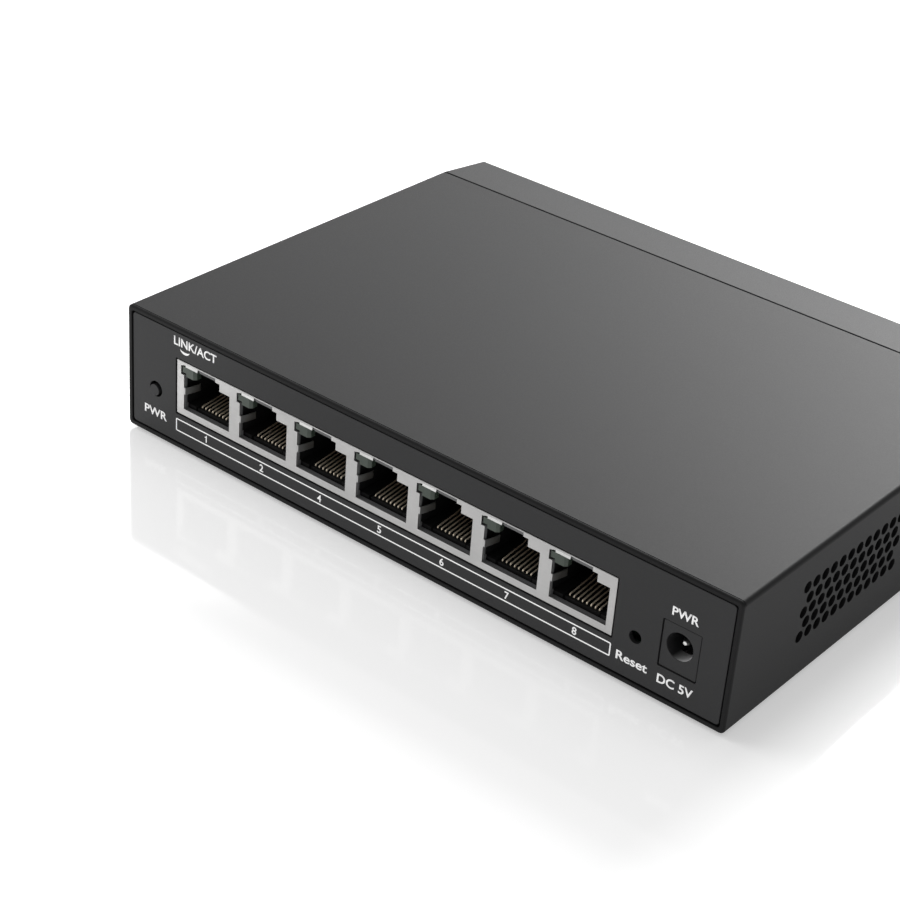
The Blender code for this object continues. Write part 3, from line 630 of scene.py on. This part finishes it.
# ------------------------------------------------------------------ screws
def cross_recess(mesh, axis, middle, start, end, arm, width):
    """A cross-shaped recess for a driver."""
    half = width / 2
    outline = []
    for turn in range(4):
        angle = math.radians(90 * turn + 20)
        for along, across in ((half, half), (arm, half), (arm, -half)):
            x = along * math.cos(angle) + across * math.sin(angle)
            z = along * math.sin(angle) - across * math.cos(angle)
            outline.append((middle[0] + x, middle[1] + z))
    ordered = sorted(outline, key=lambda p: math.atan2(p[1] - middle[1], p[0] - middle[0]))
    add_prism(mesh, axis, ordered, start, end)


def make_screw(kind, number, axis, head_radius, head_height, countersunk=False):
    """A machine screw: a countersunk head at its low end, or a pan head at its high end."""
    node = f"{kind}_{number}"
    low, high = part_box(node)
    centre = (low + high) / 2
    if axis == "y":
        start, end, middle = low.y, high.y, (centre.x, centre.z)
    else:
        start, end, middle = low.z, high.z, (centre.x, centre.y)
    tip_radius = SHANK_RADIUS * 0.6
    point = 0.3 * MM
    if countersunk:
        profile = [
            (start, head_radius * 0.96), (start + 0.12 * MM, head_radius),
            (start + head_height, SHANK_RADIUS), (end - point, SHANK_RADIUS), (end, tip_radius),
        ]
        recess = (start - 0.2 * MM, start + 0.8 * MM)
    else:
        profile = [
            (start, tip_radius), (start + point, SHANK_RADIUS), (end - head_height, SHANK_RADIUS),
            (end - head_height, head_radius),
        ]
        for step in range(5):
            angle = math.radians(90 * step / 5)
            rise = head_height * (0.35 + 0.65 * math.sin(angle))
            profile.append((end - head_height + rise, head_radius * (0.35 + 0.65 * math.cos(angle))))
        recess = (end - head_height * 0.75, end + 0.2 * MM)
    mesh = bmesh.new()
    add_turned(mesh, axis, middle, profile, 32)
    screw = object_from(f"{kind}_fine_{number}", mesh, SCREW_METAL)
    cut = bmesh.new()
    cross_recess(cut, axis, middle, recess[0], recess[1], head_radius * 0.52, head_radius * 0.2)
    combine(screw, cut, "DIFFERENCE")
    shade(screw, 40)
    install(screw, "case", "zinc_steel", node)


def make_screws():
    """All the screws: two behind, two underneath and four on the board."""
    for number in (1, 2):
        make_screw("rear_screw", number, "y", 2.5 * MM, 1.4 * MM)
        make_screw("base_screw", number, "z", 2.3 * MM, 1.2 * MM, True)
    for number in range(1, 5):
        make_screw("board_screw", number, "z", 2.5 * MM, 1.6 * MM)


# ------------------------------------------------------------------ ports
def plug_outline(middle, low, ease, latch_drop):
    """Outline of one plug's way in above a floor, with its latch steps, widened by ease."""
    left = middle - PLUG_HALF - ease
    right = middle + PLUG_HALF + ease
    shoulder = BASE + PLUG_TOP + ease
    step = middle + STEP_HALF + ease
    step_top = BASE + STEP_TOP - latch_drop * 0.3
    latch_top = BASE + LATCH_TOP - latch_drop
    return (
        (left, BASE + low), (right, BASE + low), (right, shoulder), (step, shoulder),
        (step, step_top), (middle + LATCH[1] + ease, step_top), (middle + LATCH[1] + ease, latch_top),
        (middle + LATCH[0] - ease, latch_top), (middle + LATCH[0] - ease, shoulder), (left, shoulder),
    )


def cut_plugs(target, y_span, low, ease, latch_drop=0.0):
    """Cut the plug's way in at every port."""
    mesh = bmesh.new()
    for middle in PORTS_X:
        add_prism(mesh, "y", plug_outline(middle, low, ease, latch_drop), *y_span)
    combine(target, mesh, "DIFFERENCE")


def cut_at_ports(target, x_span, y_span, z_span):
    """Cut a box at every port; x is measured from the port's middle and z from the case's base."""
    mesh = bmesh.new()
    z_span = (BASE + z_span[0], BASE + z_span[1])
    for middle in PORTS_X:
        add_box(mesh, (middle + x_span[0], middle + x_span[1]), y_span, z_span)
    combine(target, mesh, "DIFFERENCE")


def cut_light_channels(target, y_span):
    """Cut the channel for the light pipe at the upper left of every port."""
    x_span = (LIGHT_WINDOW[0], LIGHT_WINDOW[1] + 0.15 * MM)
    cut_at_ports(target, x_span, y_span, (PLUG_TOP - 0.15 * MM, LIGHT_WINDOW_TOP))


def make_port_hood():
    """Sheet hood over the ports, with stamped windows and sloping notches above the light pipes."""
    mesh = bmesh.new()
    add_box(mesh, (HOOD_LOW.x, HOOD_HIGH.x), (HOOD_LOW.y, HOOD_HIGH.y), (HOOD_LOW.z, HOOD_HIGH.z))
    hood = object_from("port_hood", mesh, HOOD_METAL)
    ease_edges(hood, 0.15 * MM, 3)
    hollow = bmesh.new()
    hollow_x = (HOOD_LOW.x + HOOD_SHEET, HOOD_HIGH.x - HOOD_SHEET)
    hollow_y = (HOOD_LOW.y + HOOD_SHEET, HOOD_HIGH.y - HOOD_SHEET)
    add_box(hollow, hollow_x, hollow_y, (HOOD_LOW.z - MM, HOOD_HIGH.z - HOOD_SHEET))
    combine(hood, hollow, "DIFFERENCE")
    through = (HOOD_LOW.y - MM, HOOD_LOW.y + 0.4 * MM)
    cut_plugs(hood, through, WINDOW_LOW, WINDOW_EASE)
    cut_light_channels(hood, (HOOD_LOW.y - 1.5 * MM, HOOD_HIGH.y + MM))
    notches = bmesh.new()
    top = BASE + LIGHT_WINDOW_TOP
    for middle in PORTS_X:
        left = middle + LIGHT_WINDOW[0]
        slope = (
            (left + 0.15 * MM, top - 0.3 * MM), (left + 1.35 * MM, top - 0.3 * MM),
            (left + 1.35 * MM, top + 0.3 * MM), (left + 0.8 * MM, top + 0.22 * MM),
            (left + 0.15 * MM, top - 0.02 * MM),
        )
        add_prism(notches, "y", slope, *through)
    combine(hood, notches, "DIFFERENCE")
    shade(hood)
    install(hood, "case", "tinned_steel", "port_shield")


def make_brows():
    """The slightly lifted sheet above each light window, in a lighter copy of the hood's steel: a
    painted highlight.
    """
    low = BASE + LIGHT_WINDOW_TOP
    high = low + 0.45 * MM
    front = HOOD_LOW.y
    back = front + 0.05 * MM
    section = ((front - 0.10 * MM, low), (back, low), (back, high), (front - 0.005 * MM, high))
    for number, middle in enumerate(PORTS_X, 1):
        mesh = bmesh.new()
        add_prism(mesh, "x", section, middle - 5.5 * MM, middle + LIGHT_WINDOW[1] - 0.1 * MM)
        brow = object_from(f"shield_brow_{number}", mesh, BROW_HIGHLIGHT_METAL)
        install(brow, "case", "tinned_steel")


def make_ground_fingers():
    """Sprung tongue at the left of each window, bent back and inwards, and the tab it grows from."""
    front = HOOD_LOW.y
    low = BASE + 12.35 * MM
    high = BASE + 13.85 * MM
    thick = 0.16 * MM
    for number, middle in enumerate(PORTS_X, 1):
        left = middle - PLUG_HALF - WINDOW_EASE
        path = [(left - 0.05 * MM, front + 0.02 * MM), (left + 0.34 * MM, front + 0.05 * MM)]
        for step in range(1, 7):
            share = step / 6
            path.append((left + (0.36 + 0.72 * share ** 0.8) * MM, front + (0.25 + 3.1 * share) * MM))
        outline = path + [(x - thick * 0.9, y + thick * 0.6) for x, y in reversed(path)]
        mesh = bmesh.new()
        add_prism(mesh, "z", outline, low, high)
        finger = object_from(f"ground_finger_{number}", mesh, FINGER_SHADED_METAL)
        shade(finger, 40)
        install(finger, "case", "tinned_steel")
        root = bmesh.new()
        root_x = (left - 0.1 * MM, left + 0.3 * MM)
        add_box(root, root_x, (front + 0.01 * MM, front + 0.13 * MM), (low + 0.1 * MM, high))
        tab = object_from(f"ground_finger_root_{number}", root, HOOD_METAL)
        ease_edges(tab, 0.03 * MM)
        shade(tab)
        install(tab, "case", "tinned_steel")


def make_port_block():
    """Moulded block close behind the hood, with a ledge, a pit and a raised floor in each mouth."""
    front = HOOD_LOW.y + HOOD_SHEET + 0.03 * MM
    ledge_back = FRONT + LEDGE_BACK
    step = FRONT + STEP_BACK
    wide = PLUG_HALF + 0.3 * MM
    room = wide - 0.01 * MM
    mesh = bmesh.new()
    add_box(mesh, (BLOCK_LOW.x, BLOCK_HIGH.x), (front, BLOCK_HIGH.y), (BLOCK_LOW.z, BLOCK_HIGH.z))
    block = object_from("port_block", mesh, PORT_PLASTIC)
    cut_plugs(block, (front - MM, FRONT + CAVITY_BACK), PLUG_LOW, 0.0, 0.78 * MM)
    # the mouth above its ledge, the pit behind the ledge, the relief in the left wall for the spring
    # tongue, the wider room behind the pit and the slot that the wires go down into
    cuts = (
        ((-PLUG_HALF, PLUG_HALF), (front - MM, ledge_back + 0.1 * MM),
         (WINDOW_LOW + 0.02 * MM, PLUG_LOW + MM)),
        ((-wide, wide), (ledge_back, step), (8.6 * MM, PLUG_TOP - 0.6 * MM)),
        ((-wide, 0.1 * MM - PLUG_HALF), (FRONT + 0.88 * MM, ledge_back + 0.05 * MM),
         (10.3 * MM, PLUG_TOP - 0.7 * MM)),
        ((-room, room), (step - 0.01 * MM, FRONT + ROOM_BACK),
         (PLUG_LOW - 0.01 * MM, PLUG_TOP - 0.59 * MM)),
        ((-4.0 * MM, 4.0 * MM), (step - 0.02 * MM, FRONT + 10.2 * MM), (8.55 * MM, PLUG_LOW + 0.5 * MM)),
    )
    for spans in cuts:
        cut_at_ports(block, *spans)
    cut_light_channels(block, (front - MM, BLOCK_HIGH.y + MM))
    foot = bmesh.new()
    foot_x = (BLOCK_LOW.x - MM, BLOCK_HIGH.x + MM)
    add_box(foot, foot_x, (front - MM, FRONT + 1.45 * MM), (BLOCK_LOW.z - MM, HOOD_LOW.z))
    combine(block, foot, "DIFFERENCE")
    shade(block)
    install(block, "case", "port_plastic", "port_housing")


def wire_path(pivot_y, floor, knee, tip):
    """Side view of one spring wire: up out of the floor, round a tight bend and up to the back."""
    bend = 0.22 * MM
    slope = math.atan2(knee[1] - floor, knee[0] - pivot_y)
    points = [(pivot_y, floor - 0.9 * MM), (pivot_y, floor - bend)]
    for step in range(1, 6):
        angle = math.pi - (math.pi / 2 - slope) * step / 5
        points.append((pivot_y + bend + bend * math.cos(angle), floor - bend + bend * math.sin(angle)))
    points.append(knee)
    points.append(tip)
    points.append((tip[0] + 0.5 * MM, tip[1] - 0.25 * MM))
    return points


def add_wire(mesh, across, path):
    """Sweep a rectangular wire with eased corners along a path in a plane of constant x."""
    ease = 0.28
    corners = []
    for side_x, side_n in ((1, 1), (-1, 1), (-1, -1), (1, -1)):
        first = (side_x * WIRE_WIDTH / 2, side_n * WIRE_HEIGHT / 2 * (1 - ease))
        second = (side_x * WIRE_WIDTH / 2 * (1 - ease), side_n * WIRE_HEIGHT / 2)
        corners += [first, second] if side_x * side_n > 0 else [second, first]
    loops = []
    for index, point in enumerate(path):
        before = path[max(index - 1, 0)]
        after = path[min(index + 1, len(path) - 1)]
        tangent = Vector((after[0] - before[0], after[1] - before[1])).normalized()
        normal = Vector((-tangent.y, tangent.x))
        loops.append([
            mesh.verts.new((across + x, point[0] + normal.x * n, point[1] + normal.y * n))
            for x, n in corners])
    add_skin(mesh, loops)


def make_contacts():
    """Eight gold spring wires for each port, and the strip that holds them."""
    knee = (FRONT + WIRE_KNEE[0], BASE + WIRE_KNEE[1])
    for number, middle in enumerate(PORTS_X, 1):
        low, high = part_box(f"contact_set_{number}")
        tip = (high.y - 0.5 * MM, high.z - 0.2 * MM)
        path = wire_path(FRONT + WIRE_FRONT, BASE + WIRE_FLOOR, knee, tip)
        mesh = bmesh.new()
        for wire in range(WIRE_COUNT):
            across = middle + (wire - (WIRE_COUNT - 1) / 2) * WIRE_PITCH
            add_wire(mesh, across, path)
        wires = object_from(f"contact_wires_{number}", mesh, GOLD)
        shade(wires, 50)
        install(wires, f"contacts_{number}", "gold_contact", f"contact_set_{number}")
        strip = bmesh.new()
        add_box(strip, (low.x, high.x), (low.y, low.y + 1.3 * MM), (low.z, low.z + 0.9 * MM))
        carrier = object_from(f"contact_strip_{number}", strip, PORT_PLASTIC)
        ease_edges(carrier, 0.08 * MM)
        shade(carrier)
        install(carrier, f"contacts_{number}", "port_plastic")


def make_light_pipes():
    """Moulded light pipes with a slanted right flank, a lip hanging at the front and a rear leg."""
    flank = 0.53 * MM
    hair = 0.001 * MM
    lip_back = FRONT + 2.0 * MM
    for number in range(1, PORT_COUNT + 1):
        low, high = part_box(f"link_light_pipe_{number}")
        lip_left = low.x + 0.9 * MM
        body = (
            (low.x, low.y), (high.x - flank, low.y), (high.x, low.y + flank),
            (high.x, high.y), (low.x, high.y),
        )
        mesh = bmesh.new()
        add_prism(mesh, "z", body, high.z - 1.25 * MM, high.z)
        pipe = object_from(f"light_pipe_fine_{number}", mesh, LIGHT_GUIDE)
        lip = (
            (lip_left, low.y + hair), (high.x - flank - hair, low.y + hair),
            (high.x - hair, low.y + flank), (high.x - hair, lip_back), (lip_left, lip_back),
        )
        hanging = bmesh.new()
        add_prism(hanging, "z", lip, BASE + 16.3 * MM, high.z - 0.3 * MM)
        combine(pipe, hanging, "UNION")
        leg = bmesh.new()
        leg_y = (high.y - 2.0 * MM, high.y - hair)
        add_box(leg, (low.x + hair, high.x - hair), leg_y, (low.z, high.z - 0.7 * MM))
        combine(pipe, leg, "UNION")
        ease_edges(pipe, 0.07 * MM)
        shade(pipe)
        install(pipe, "case", "light_guide", f"link_light_pipe_{number}")


# ------------------------------------------------------------------ power light, reset and inlet
def make_power_lens():
    """Flat smoked lens of the power lamp with an eased rim."""
    radius = (LENS_HIGH.x - LENS_LOW.x) / 2
    centre = centre_xz(LENS_LOW, LENS_HIGH)
    ease = 0.04 * MM
    profile = [(LENS_LOW.y, radius - 2 * ease)]
    for step in range(4):
        angle = math.radians(90 * step / 3)
        along = LENS_LOW.y + 0.01 * MM + ease * (1 - math.cos(angle))
        profile.append((along, radius - ease * (1 - math.sin(angle))))
    profile.append((LENS_HIGH.y, radius))
    mesh = bmesh.new()
    add_turned(mesh, "y", centre, profile, 48)
    lens = object_from("power_lens", mesh, LENS_PLASTIC)
    shade(lens, 60)
    install(lens, "case", "smoked_lens", "power_led")


def make_reset_plunger():
    """Round plunger behind the reset hole."""
    radius = 1.0 * MM
    centre = centre_xz(PLUNGER_LOW, PLUNGER_HIGH)
    profile = (
        (PLUNGER_LOW.y, radius * 0.8), (PLUNGER_LOW.y + 0.06 * MM, radius * 0.94),
        (PLUNGER_LOW.y + 0.2 * MM, radius), (PLUNGER_HIGH.y, radius),
    )
    mesh = bmesh.new()
    add_turned(mesh, "y", centre, profile, 36)
    plunger = object_from("reset_plunger", mesh, BUTTON_PLASTIC)
    shade(plunger, 40)
    install(plunger, "reset_button", "button_plastic", "reset_button")


def make_jack():
    """Power inlet body with a round bore and a slot for its sleeve contact, and its centre pin."""
    centre = centre_xz(PIN_LOW, PIN_HIGH)
    mesh = bmesh.new()
    ease = 0.08 * MM
    outline = rounded_outline(JACK_LOW.x, JACK_HIGH.x, JACK_LOW.z, JACK_HIGH.z, 0.25 * MM)
    eased = rounded_outline(
        JACK_LOW.x + ease, JACK_HIGH.x - ease, JACK_LOW.z + ease, JACK_HIGH.z - ease, 0.18 * MM)
    add_loft(mesh, "y", ((JACK_LOW.y, eased), (JACK_LOW.y + ease, outline), (JACK_HIGH.y, outline)))
    body = object_from("inlet_body", mesh, JACK_PLASTIC)
    bore = bmesh.new()
    mouth_radius = 2.66 * MM
    bore_back = JACK_LOW.y + BORE_DEPTH
    profile = (
        (JACK_LOW.y - MM, mouth_radius), (JACK_LOW.y, mouth_radius),
        (JACK_LOW.y + 0.06 * MM, BORE_RADIUS), (bore_back, BORE_RADIUS),
        (bore_back, PIN_HOLE_RADIUS), (JACK_HIGH.y + MM, PIN_HOLE_RADIUS),
    )
    add_turned(bore, "y", centre, profile, 64)
    combine(body, bore, "DIFFERENCE")
    leaf_low, leaf_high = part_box("dc_jack_spring")
    slot = bmesh.new()
    slot_x = (leaf_low.x - 0.3 * MM, leaf_high.x + 0.3 * MM)
    slot_y = (leaf_low.y - 0.5 * MM, leaf_high.y + 0.5 * MM)
    add_box(slot, slot_x, slot_y, (JACK_LOW.z - MM, BASE + 10.6 * MM))
    combine(body, slot, "DIFFERENCE")
    shade(body)
    install(body, "case", "port_plastic", "dc_jack_body")

    radius = (PIN_HIGH.x - PIN_LOW.x) / 2
    profile = [(PIN_LOW.y, 0.30 * MM)]
    for along, across in ((0.03, 0.38), (0.1, 0.42), (0.4, 0.58), (0.7, 0.72), (0.9, 0.78)):
        profile.append((PIN_LOW.y + along * MM, across * MM))
    profile += [(PIN_LOW.y + 1.1 * MM, radius), (PIN_HIGH.y, radius)]
    pin = bmesh.new()
    add_turned(pin, "y", centre, profile, 40)
    pin_piece = object_from("inlet_pin", pin, PIN_TIP_METAL)
    shade(pin_piece, 50)
    install(pin_piece, "case", "tinned_steel", "dc_jack_pin")


def make_inlet_liner():
    """Thin metal sleeve lining the lower side of the inlet's bore; its colour runs from near black at
    the left to light grey at the right: painted shade and a painted lit patch.
    """
    centre = centre_xz(PIN_LOW, PIN_HIGH)
    outer, inner = 2.61 * MM, 2.55 * MM
    first, turn = -125, 109
    steps = 20
    arc = [math.radians(first + turn * step / steps) for step in range(steps + 1)]
    outline = []
    for radius, angles in ((outer, arc), (inner, reversed(arc))):
        outline += [(centre[0] + radius * math.cos(a), centre[1] + radius * math.sin(a)) for a in angles]
    mesh = bmesh.new()
    add_prism(mesh, "y", outline, JACK_LOW.y + 0.1 * MM, JACK_LOW.y + 2.6 * MM)
    liner = object_from("inlet_liner", mesh, LINER_LIT_METAL)
    shade(liner, 40)
    install(liner, "case", "tinned_steel")


# ------------------------------------------------------------------ legends
def make_words(name, words, left, width, baseline, height):
    """Printed words whose box starts at left and has the given width and capital height."""
    curve = bpy.data.curves.new(name, "FONT")
    curve.body = words
    curve.size = 1.0
    curve.resolution_u = 6
    curve.offset = STROKE_WEIGHT
    source = bpy.data.objects.new(name + "_text", curve)
    bpy.context.scene.collection.objects.link(source)
    bpy.context.view_layer.update()
    graph = bpy.context.evaluated_depsgraph_get()
    data = bpy.data.meshes.new_from_object(source.evaluated_get(graph))
    bpy.data.objects.remove(source)
    xs = [v.co.x for v in data.vertices]
    ys = [v.co.y for v in data.vertices]
    scale_x = width / (max(xs) - min(xs))
    scale_z = height / max(ys)
    mesh = bmesh.new()
    mesh.from_mesh(data)
    for vertex in mesh.verts:
        x, y, _ = vertex.co
        vertex.co = (left + (x - min(xs)) * scale_x, INK_FRONT, baseline + y * scale_z)
    finish_print(name, mesh)


def make_one(name, left, width, baseline, height):
    """Printed figure one: an upright bar with a flag at its upper left."""
    outline = (
        (0.56, 0), (1, 0), (1, 1), (0.72, 1), (0.6, 0.88), (0.38, 0.79),
        (0, 0.77), (0, 0.66), (0.56, 0.66),
    )
    mesh = bmesh.new()
    corners = [(left + x * width, INK_FRONT, baseline + z * height) for x, z in outline]
    mesh.faces.new([mesh.verts.new(corner) for corner in corners])
    finish_print(name, mesh)


def finish_print(name, mesh):
    """Give a flat print its thickness and put it on the plate."""
    bmesh.ops.remove_doubles(mesh, verts=mesh.verts, dist=1e-7)
    flat = list(mesh.faces)
    grown = bmesh.ops.extrude_face_region(mesh, geom=flat)
    moved = [part for part in grown["geom"] if isinstance(part, bmesh.types.BMVert)]
    bmesh.ops.translate(mesh, vec=(0, INK_THICK * 0.9, 0), verts=moved)
    piece = object_from(name, mesh, INK)
    install(piece, "case", "panel_paint")


def make_number_frame():
    """Thin rounded frame round the row of port numbers."""
    left, right = SLEEVE_LOW.x + 13.0 * MM, SLEEVE_LOW.x + 116.45 * MM
    low, high = BASE + 3.745 * MM, BASE + 6.495 * MM
    line = 0.25 * MM
    outer = rounded_outline(left, right, low, high, 0.3 * MM, 4)
    inner = rounded_outline(left + line, right - line, low + line, high - line, 0.1 * MM, 4)
    mesh = bmesh.new()
    stations = ((INK_FRONT, outer), (INK_BACK, outer), (INK_BACK, inner), (INK_FRONT, inner))
    add_loft(mesh, "y", stations, ring=True)
    piece = object_from("legend_number_frame", mesh, INK)
    install(piece, "case", "panel_paint")


def make_crescent():
    """Small filled crescent under the link words."""
    left, right = SLEEVE_LOW.x + 14.07 * MM, SLEEVE_LOW.x + 16.5 * MM
    top = BASE + 21.82 * MM
    deep = 0.85 * MM
    middle = (left + right) / 2
    half = (right - left) / 2
    steps = 16
    points = []
    for step in range(steps + 1):
        angle = math.pi * step / steps
        points.append((middle - half * math.cos(angle), top - deep * math.sin(angle)))
    for step in range(1, steps):
        angle = math.pi * step / steps
        points.append((middle + half * 0.97 * math.cos(angle), top - 0.42 * deep * math.sin(angle)))
    mesh = bmesh.new()
    add_prism(mesh, "y", points, INK_FRONT, INK_BACK)
    piece = object_from("legend_crescent", mesh, INK)
    install(piece, "case", "panel_paint")


def make_legends():
    """All the prints on the face: generic words, the port numbers, their frame and a crescent."""
    left = SLEEVE_LOW.x
    make_words("legend_link", "LINK/ACT", left + 12.4 * MM, 11.2 * MM, BASE + 22.34 * MM, 1.78 * MM)
    make_words("legend_power_lamp", "PWR", left + 4.42 * MM, 6.05 * MM, BASE + 4.53 * MM, 1.75 * MM)
    make_words("legend_reset", "Reset", left + 117.62 * MM, 6.38 * MM, BASE + 4.14 * MM, 1.72 * MM)
    make_words("legend_power_inlet", "PWR", left + 127.2 * MM, 5.22 * MM, BASE + 17.79 * MM, 1.66 * MM)
    make_words("legend_volts", "DC 5V", left + 126.06 * MM, 7.1 * MM, BASE + 3.68 * MM, 1.72 * MM)
    make_one("legend_port_1", PORTS_X[0] - 0.3 * MM, 0.55 * MM, NUMBER_BASELINE, NUMBER_HEIGHT)
    width = 0.95 * MM
    for digit, middle in zip("245678", PORTS_X[1:]):
        left = middle - width / 2
        make_words(f"legend_port_{digit}", digit, left, width, NUMBER_BASELINE, NUMBER_HEIGHT)
    make_number_frame()
    make_crescent()


# ------------------------------------------------------------------ inner parts
def repaint(node, finish):
    """Give a CAD node its finish."""
    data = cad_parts[node].data
    data.materials.clear()
    data.materials.append(finish)


def repaint_inner_parts():
    """Finishes for the inner parts, which keep their CAD shapes."""
    finishes = {
        "board_tray": SCREW_METAL, "dc_jack_spring": PIN_METAL, "power_led_holder": CHIP_PLASTIC,
        "reset_switch_body": CHIP_PLASTIC, "circuit_board": SOLDER_MASK, "switch_chip": CHIP_PLASTIC,
        "heat_sink": ALUMINIUM, "capacitor_1": ALUMINIUM, "capacitor_2": ALUMINIUM,
        "inductor": CHIP_PLASTIC, "crystal": PIN_METAL, "flash_chip": CHIP_PLASTIC,
        "voltage_regulator": CHIP_PLASTIC,
    }
    for number in range(1, 5):
        finishes[f"transformer_{number}"] = CHIP_PLASTIC
    for number in range(1, PORT_COUNT + 1):
        finishes[f"link_led_{number}"] = LED_PLASTIC
    for node, finish in finishes.items():
        repaint(node, finish)


# ------------------------------------------------------------------ floor, light and camera
def make_floor():
    """Wide pale glossy floor, lightly self-lit so that it stays white."""
    mesh = bmesh.new()
    span = (-FLOOR_HALF, FLOOR_HALF)
    add_box(mesh, span, span, (-FLOOR_THICK, -FLOOR_DROP))
    made, _, shader = new_material("floor")
    shader.inputs["Base Color"].default_value = (0.86, 0.86, 0.86, 1.0)
    shader.inputs["Roughness"].default_value = 0.08
    shader.inputs["IOR"].default_value = 1.55
    shader.inputs["Emission Color"].default_value = (1.0, 1.0, 1.0, 1.0)
    shader.inputs["Emission Strength"].default_value = 0.40
    floor = object_from("floor", mesh, made)


def make_world():
    """Plain soft light from all round."""
    world = bpy.data.worlds.new("studio")
    world.use_nodes = True
    background = world.node_tree.nodes["Background"]
    background.inputs["Color"].default_value = (1.0, 1.0, 1.0, 1.0)
    background.inputs["Strength"].default_value = 0.39
    bpy.context.scene.world = world


def add_light(name, place, size, power):
    """Rectangular soft light aimed at the switch."""
    aim = Vector((0.0, 0.0, 0.02))
    data = bpy.data.lights.new(name, "AREA")
    data.shape = "RECTANGLE"
    data.size, data.size_y = size
    data.energy = power
    made = bpy.data.objects.new(name, data)
    made.location = place
    made.rotation_euler = (aim - Vector(place)).to_track_quat("-Z", "Y").to_euler()
    bpy.context.scene.collection.objects.link(made)


def make_lights():
    """Three lights behind the switch for its top, one at the left front for its face and one above."""
    add_light("back_light", (-0.18, 1.0, 0.55), (0.32, 0.5), 11.0)
    add_light("back_middle_light", (-0.42, 0.95, 0.55), (0.3, 0.5), 2.9)
    add_light("back_left_light", (-0.7, 0.75, 0.45), (0.6, 0.5), 2.5)
    add_light("key_light", (-0.8, -0.35, 0.5), (0.5, 0.4), 2.0)
    add_light("top_light", (-0.3, 0.1, 1.1), (0.6, 0.6), 2.0)


def make_camera():
    """Camera at a three-quarter view from the right, rolled slightly."""
    data = bpy.data.cameras.new("camera")
    data.sensor_width = 36.0
    data.lens = 87.465
    data.clip_start = 0.01
    data.clip_end = 50.0
    made = bpy.data.objects.new("camera", data)
    right = Vector((0.76706897, 0.63807168, 0.06685597))
    up = Vector((-0.37138486, 0.35664572, 0.85724974))
    back = Vector((0.52314289, -0.68239897, 0.51054203))
    turn = Matrix((right, up, back)).transposed().to_4x4()
    made.matrix_world = Matrix.Translation((0.204672, -0.308163, 0.219090)) @ turn
    bpy.context.scene.collection.objects.link(made)
    bpy.context.scene.camera = made


# ------------------------------------------------------------------ build
make_camera()
make_case_shell()
make_rear_cap()
make_face_plate()
make_feet()
make_screws()
make_port_hood()
make_brows()
make_ground_fingers()
make_port_block()
make_contacts()
make_light_pipes()
make_power_lens()
make_reset_plunger()
make_jack()
make_inlet_liner()
make_legends()
repaint_inner_parts()
make_floor()
make_world()
make_lights()
bpy.context.scene.view_settings.view_transform = "Standard"
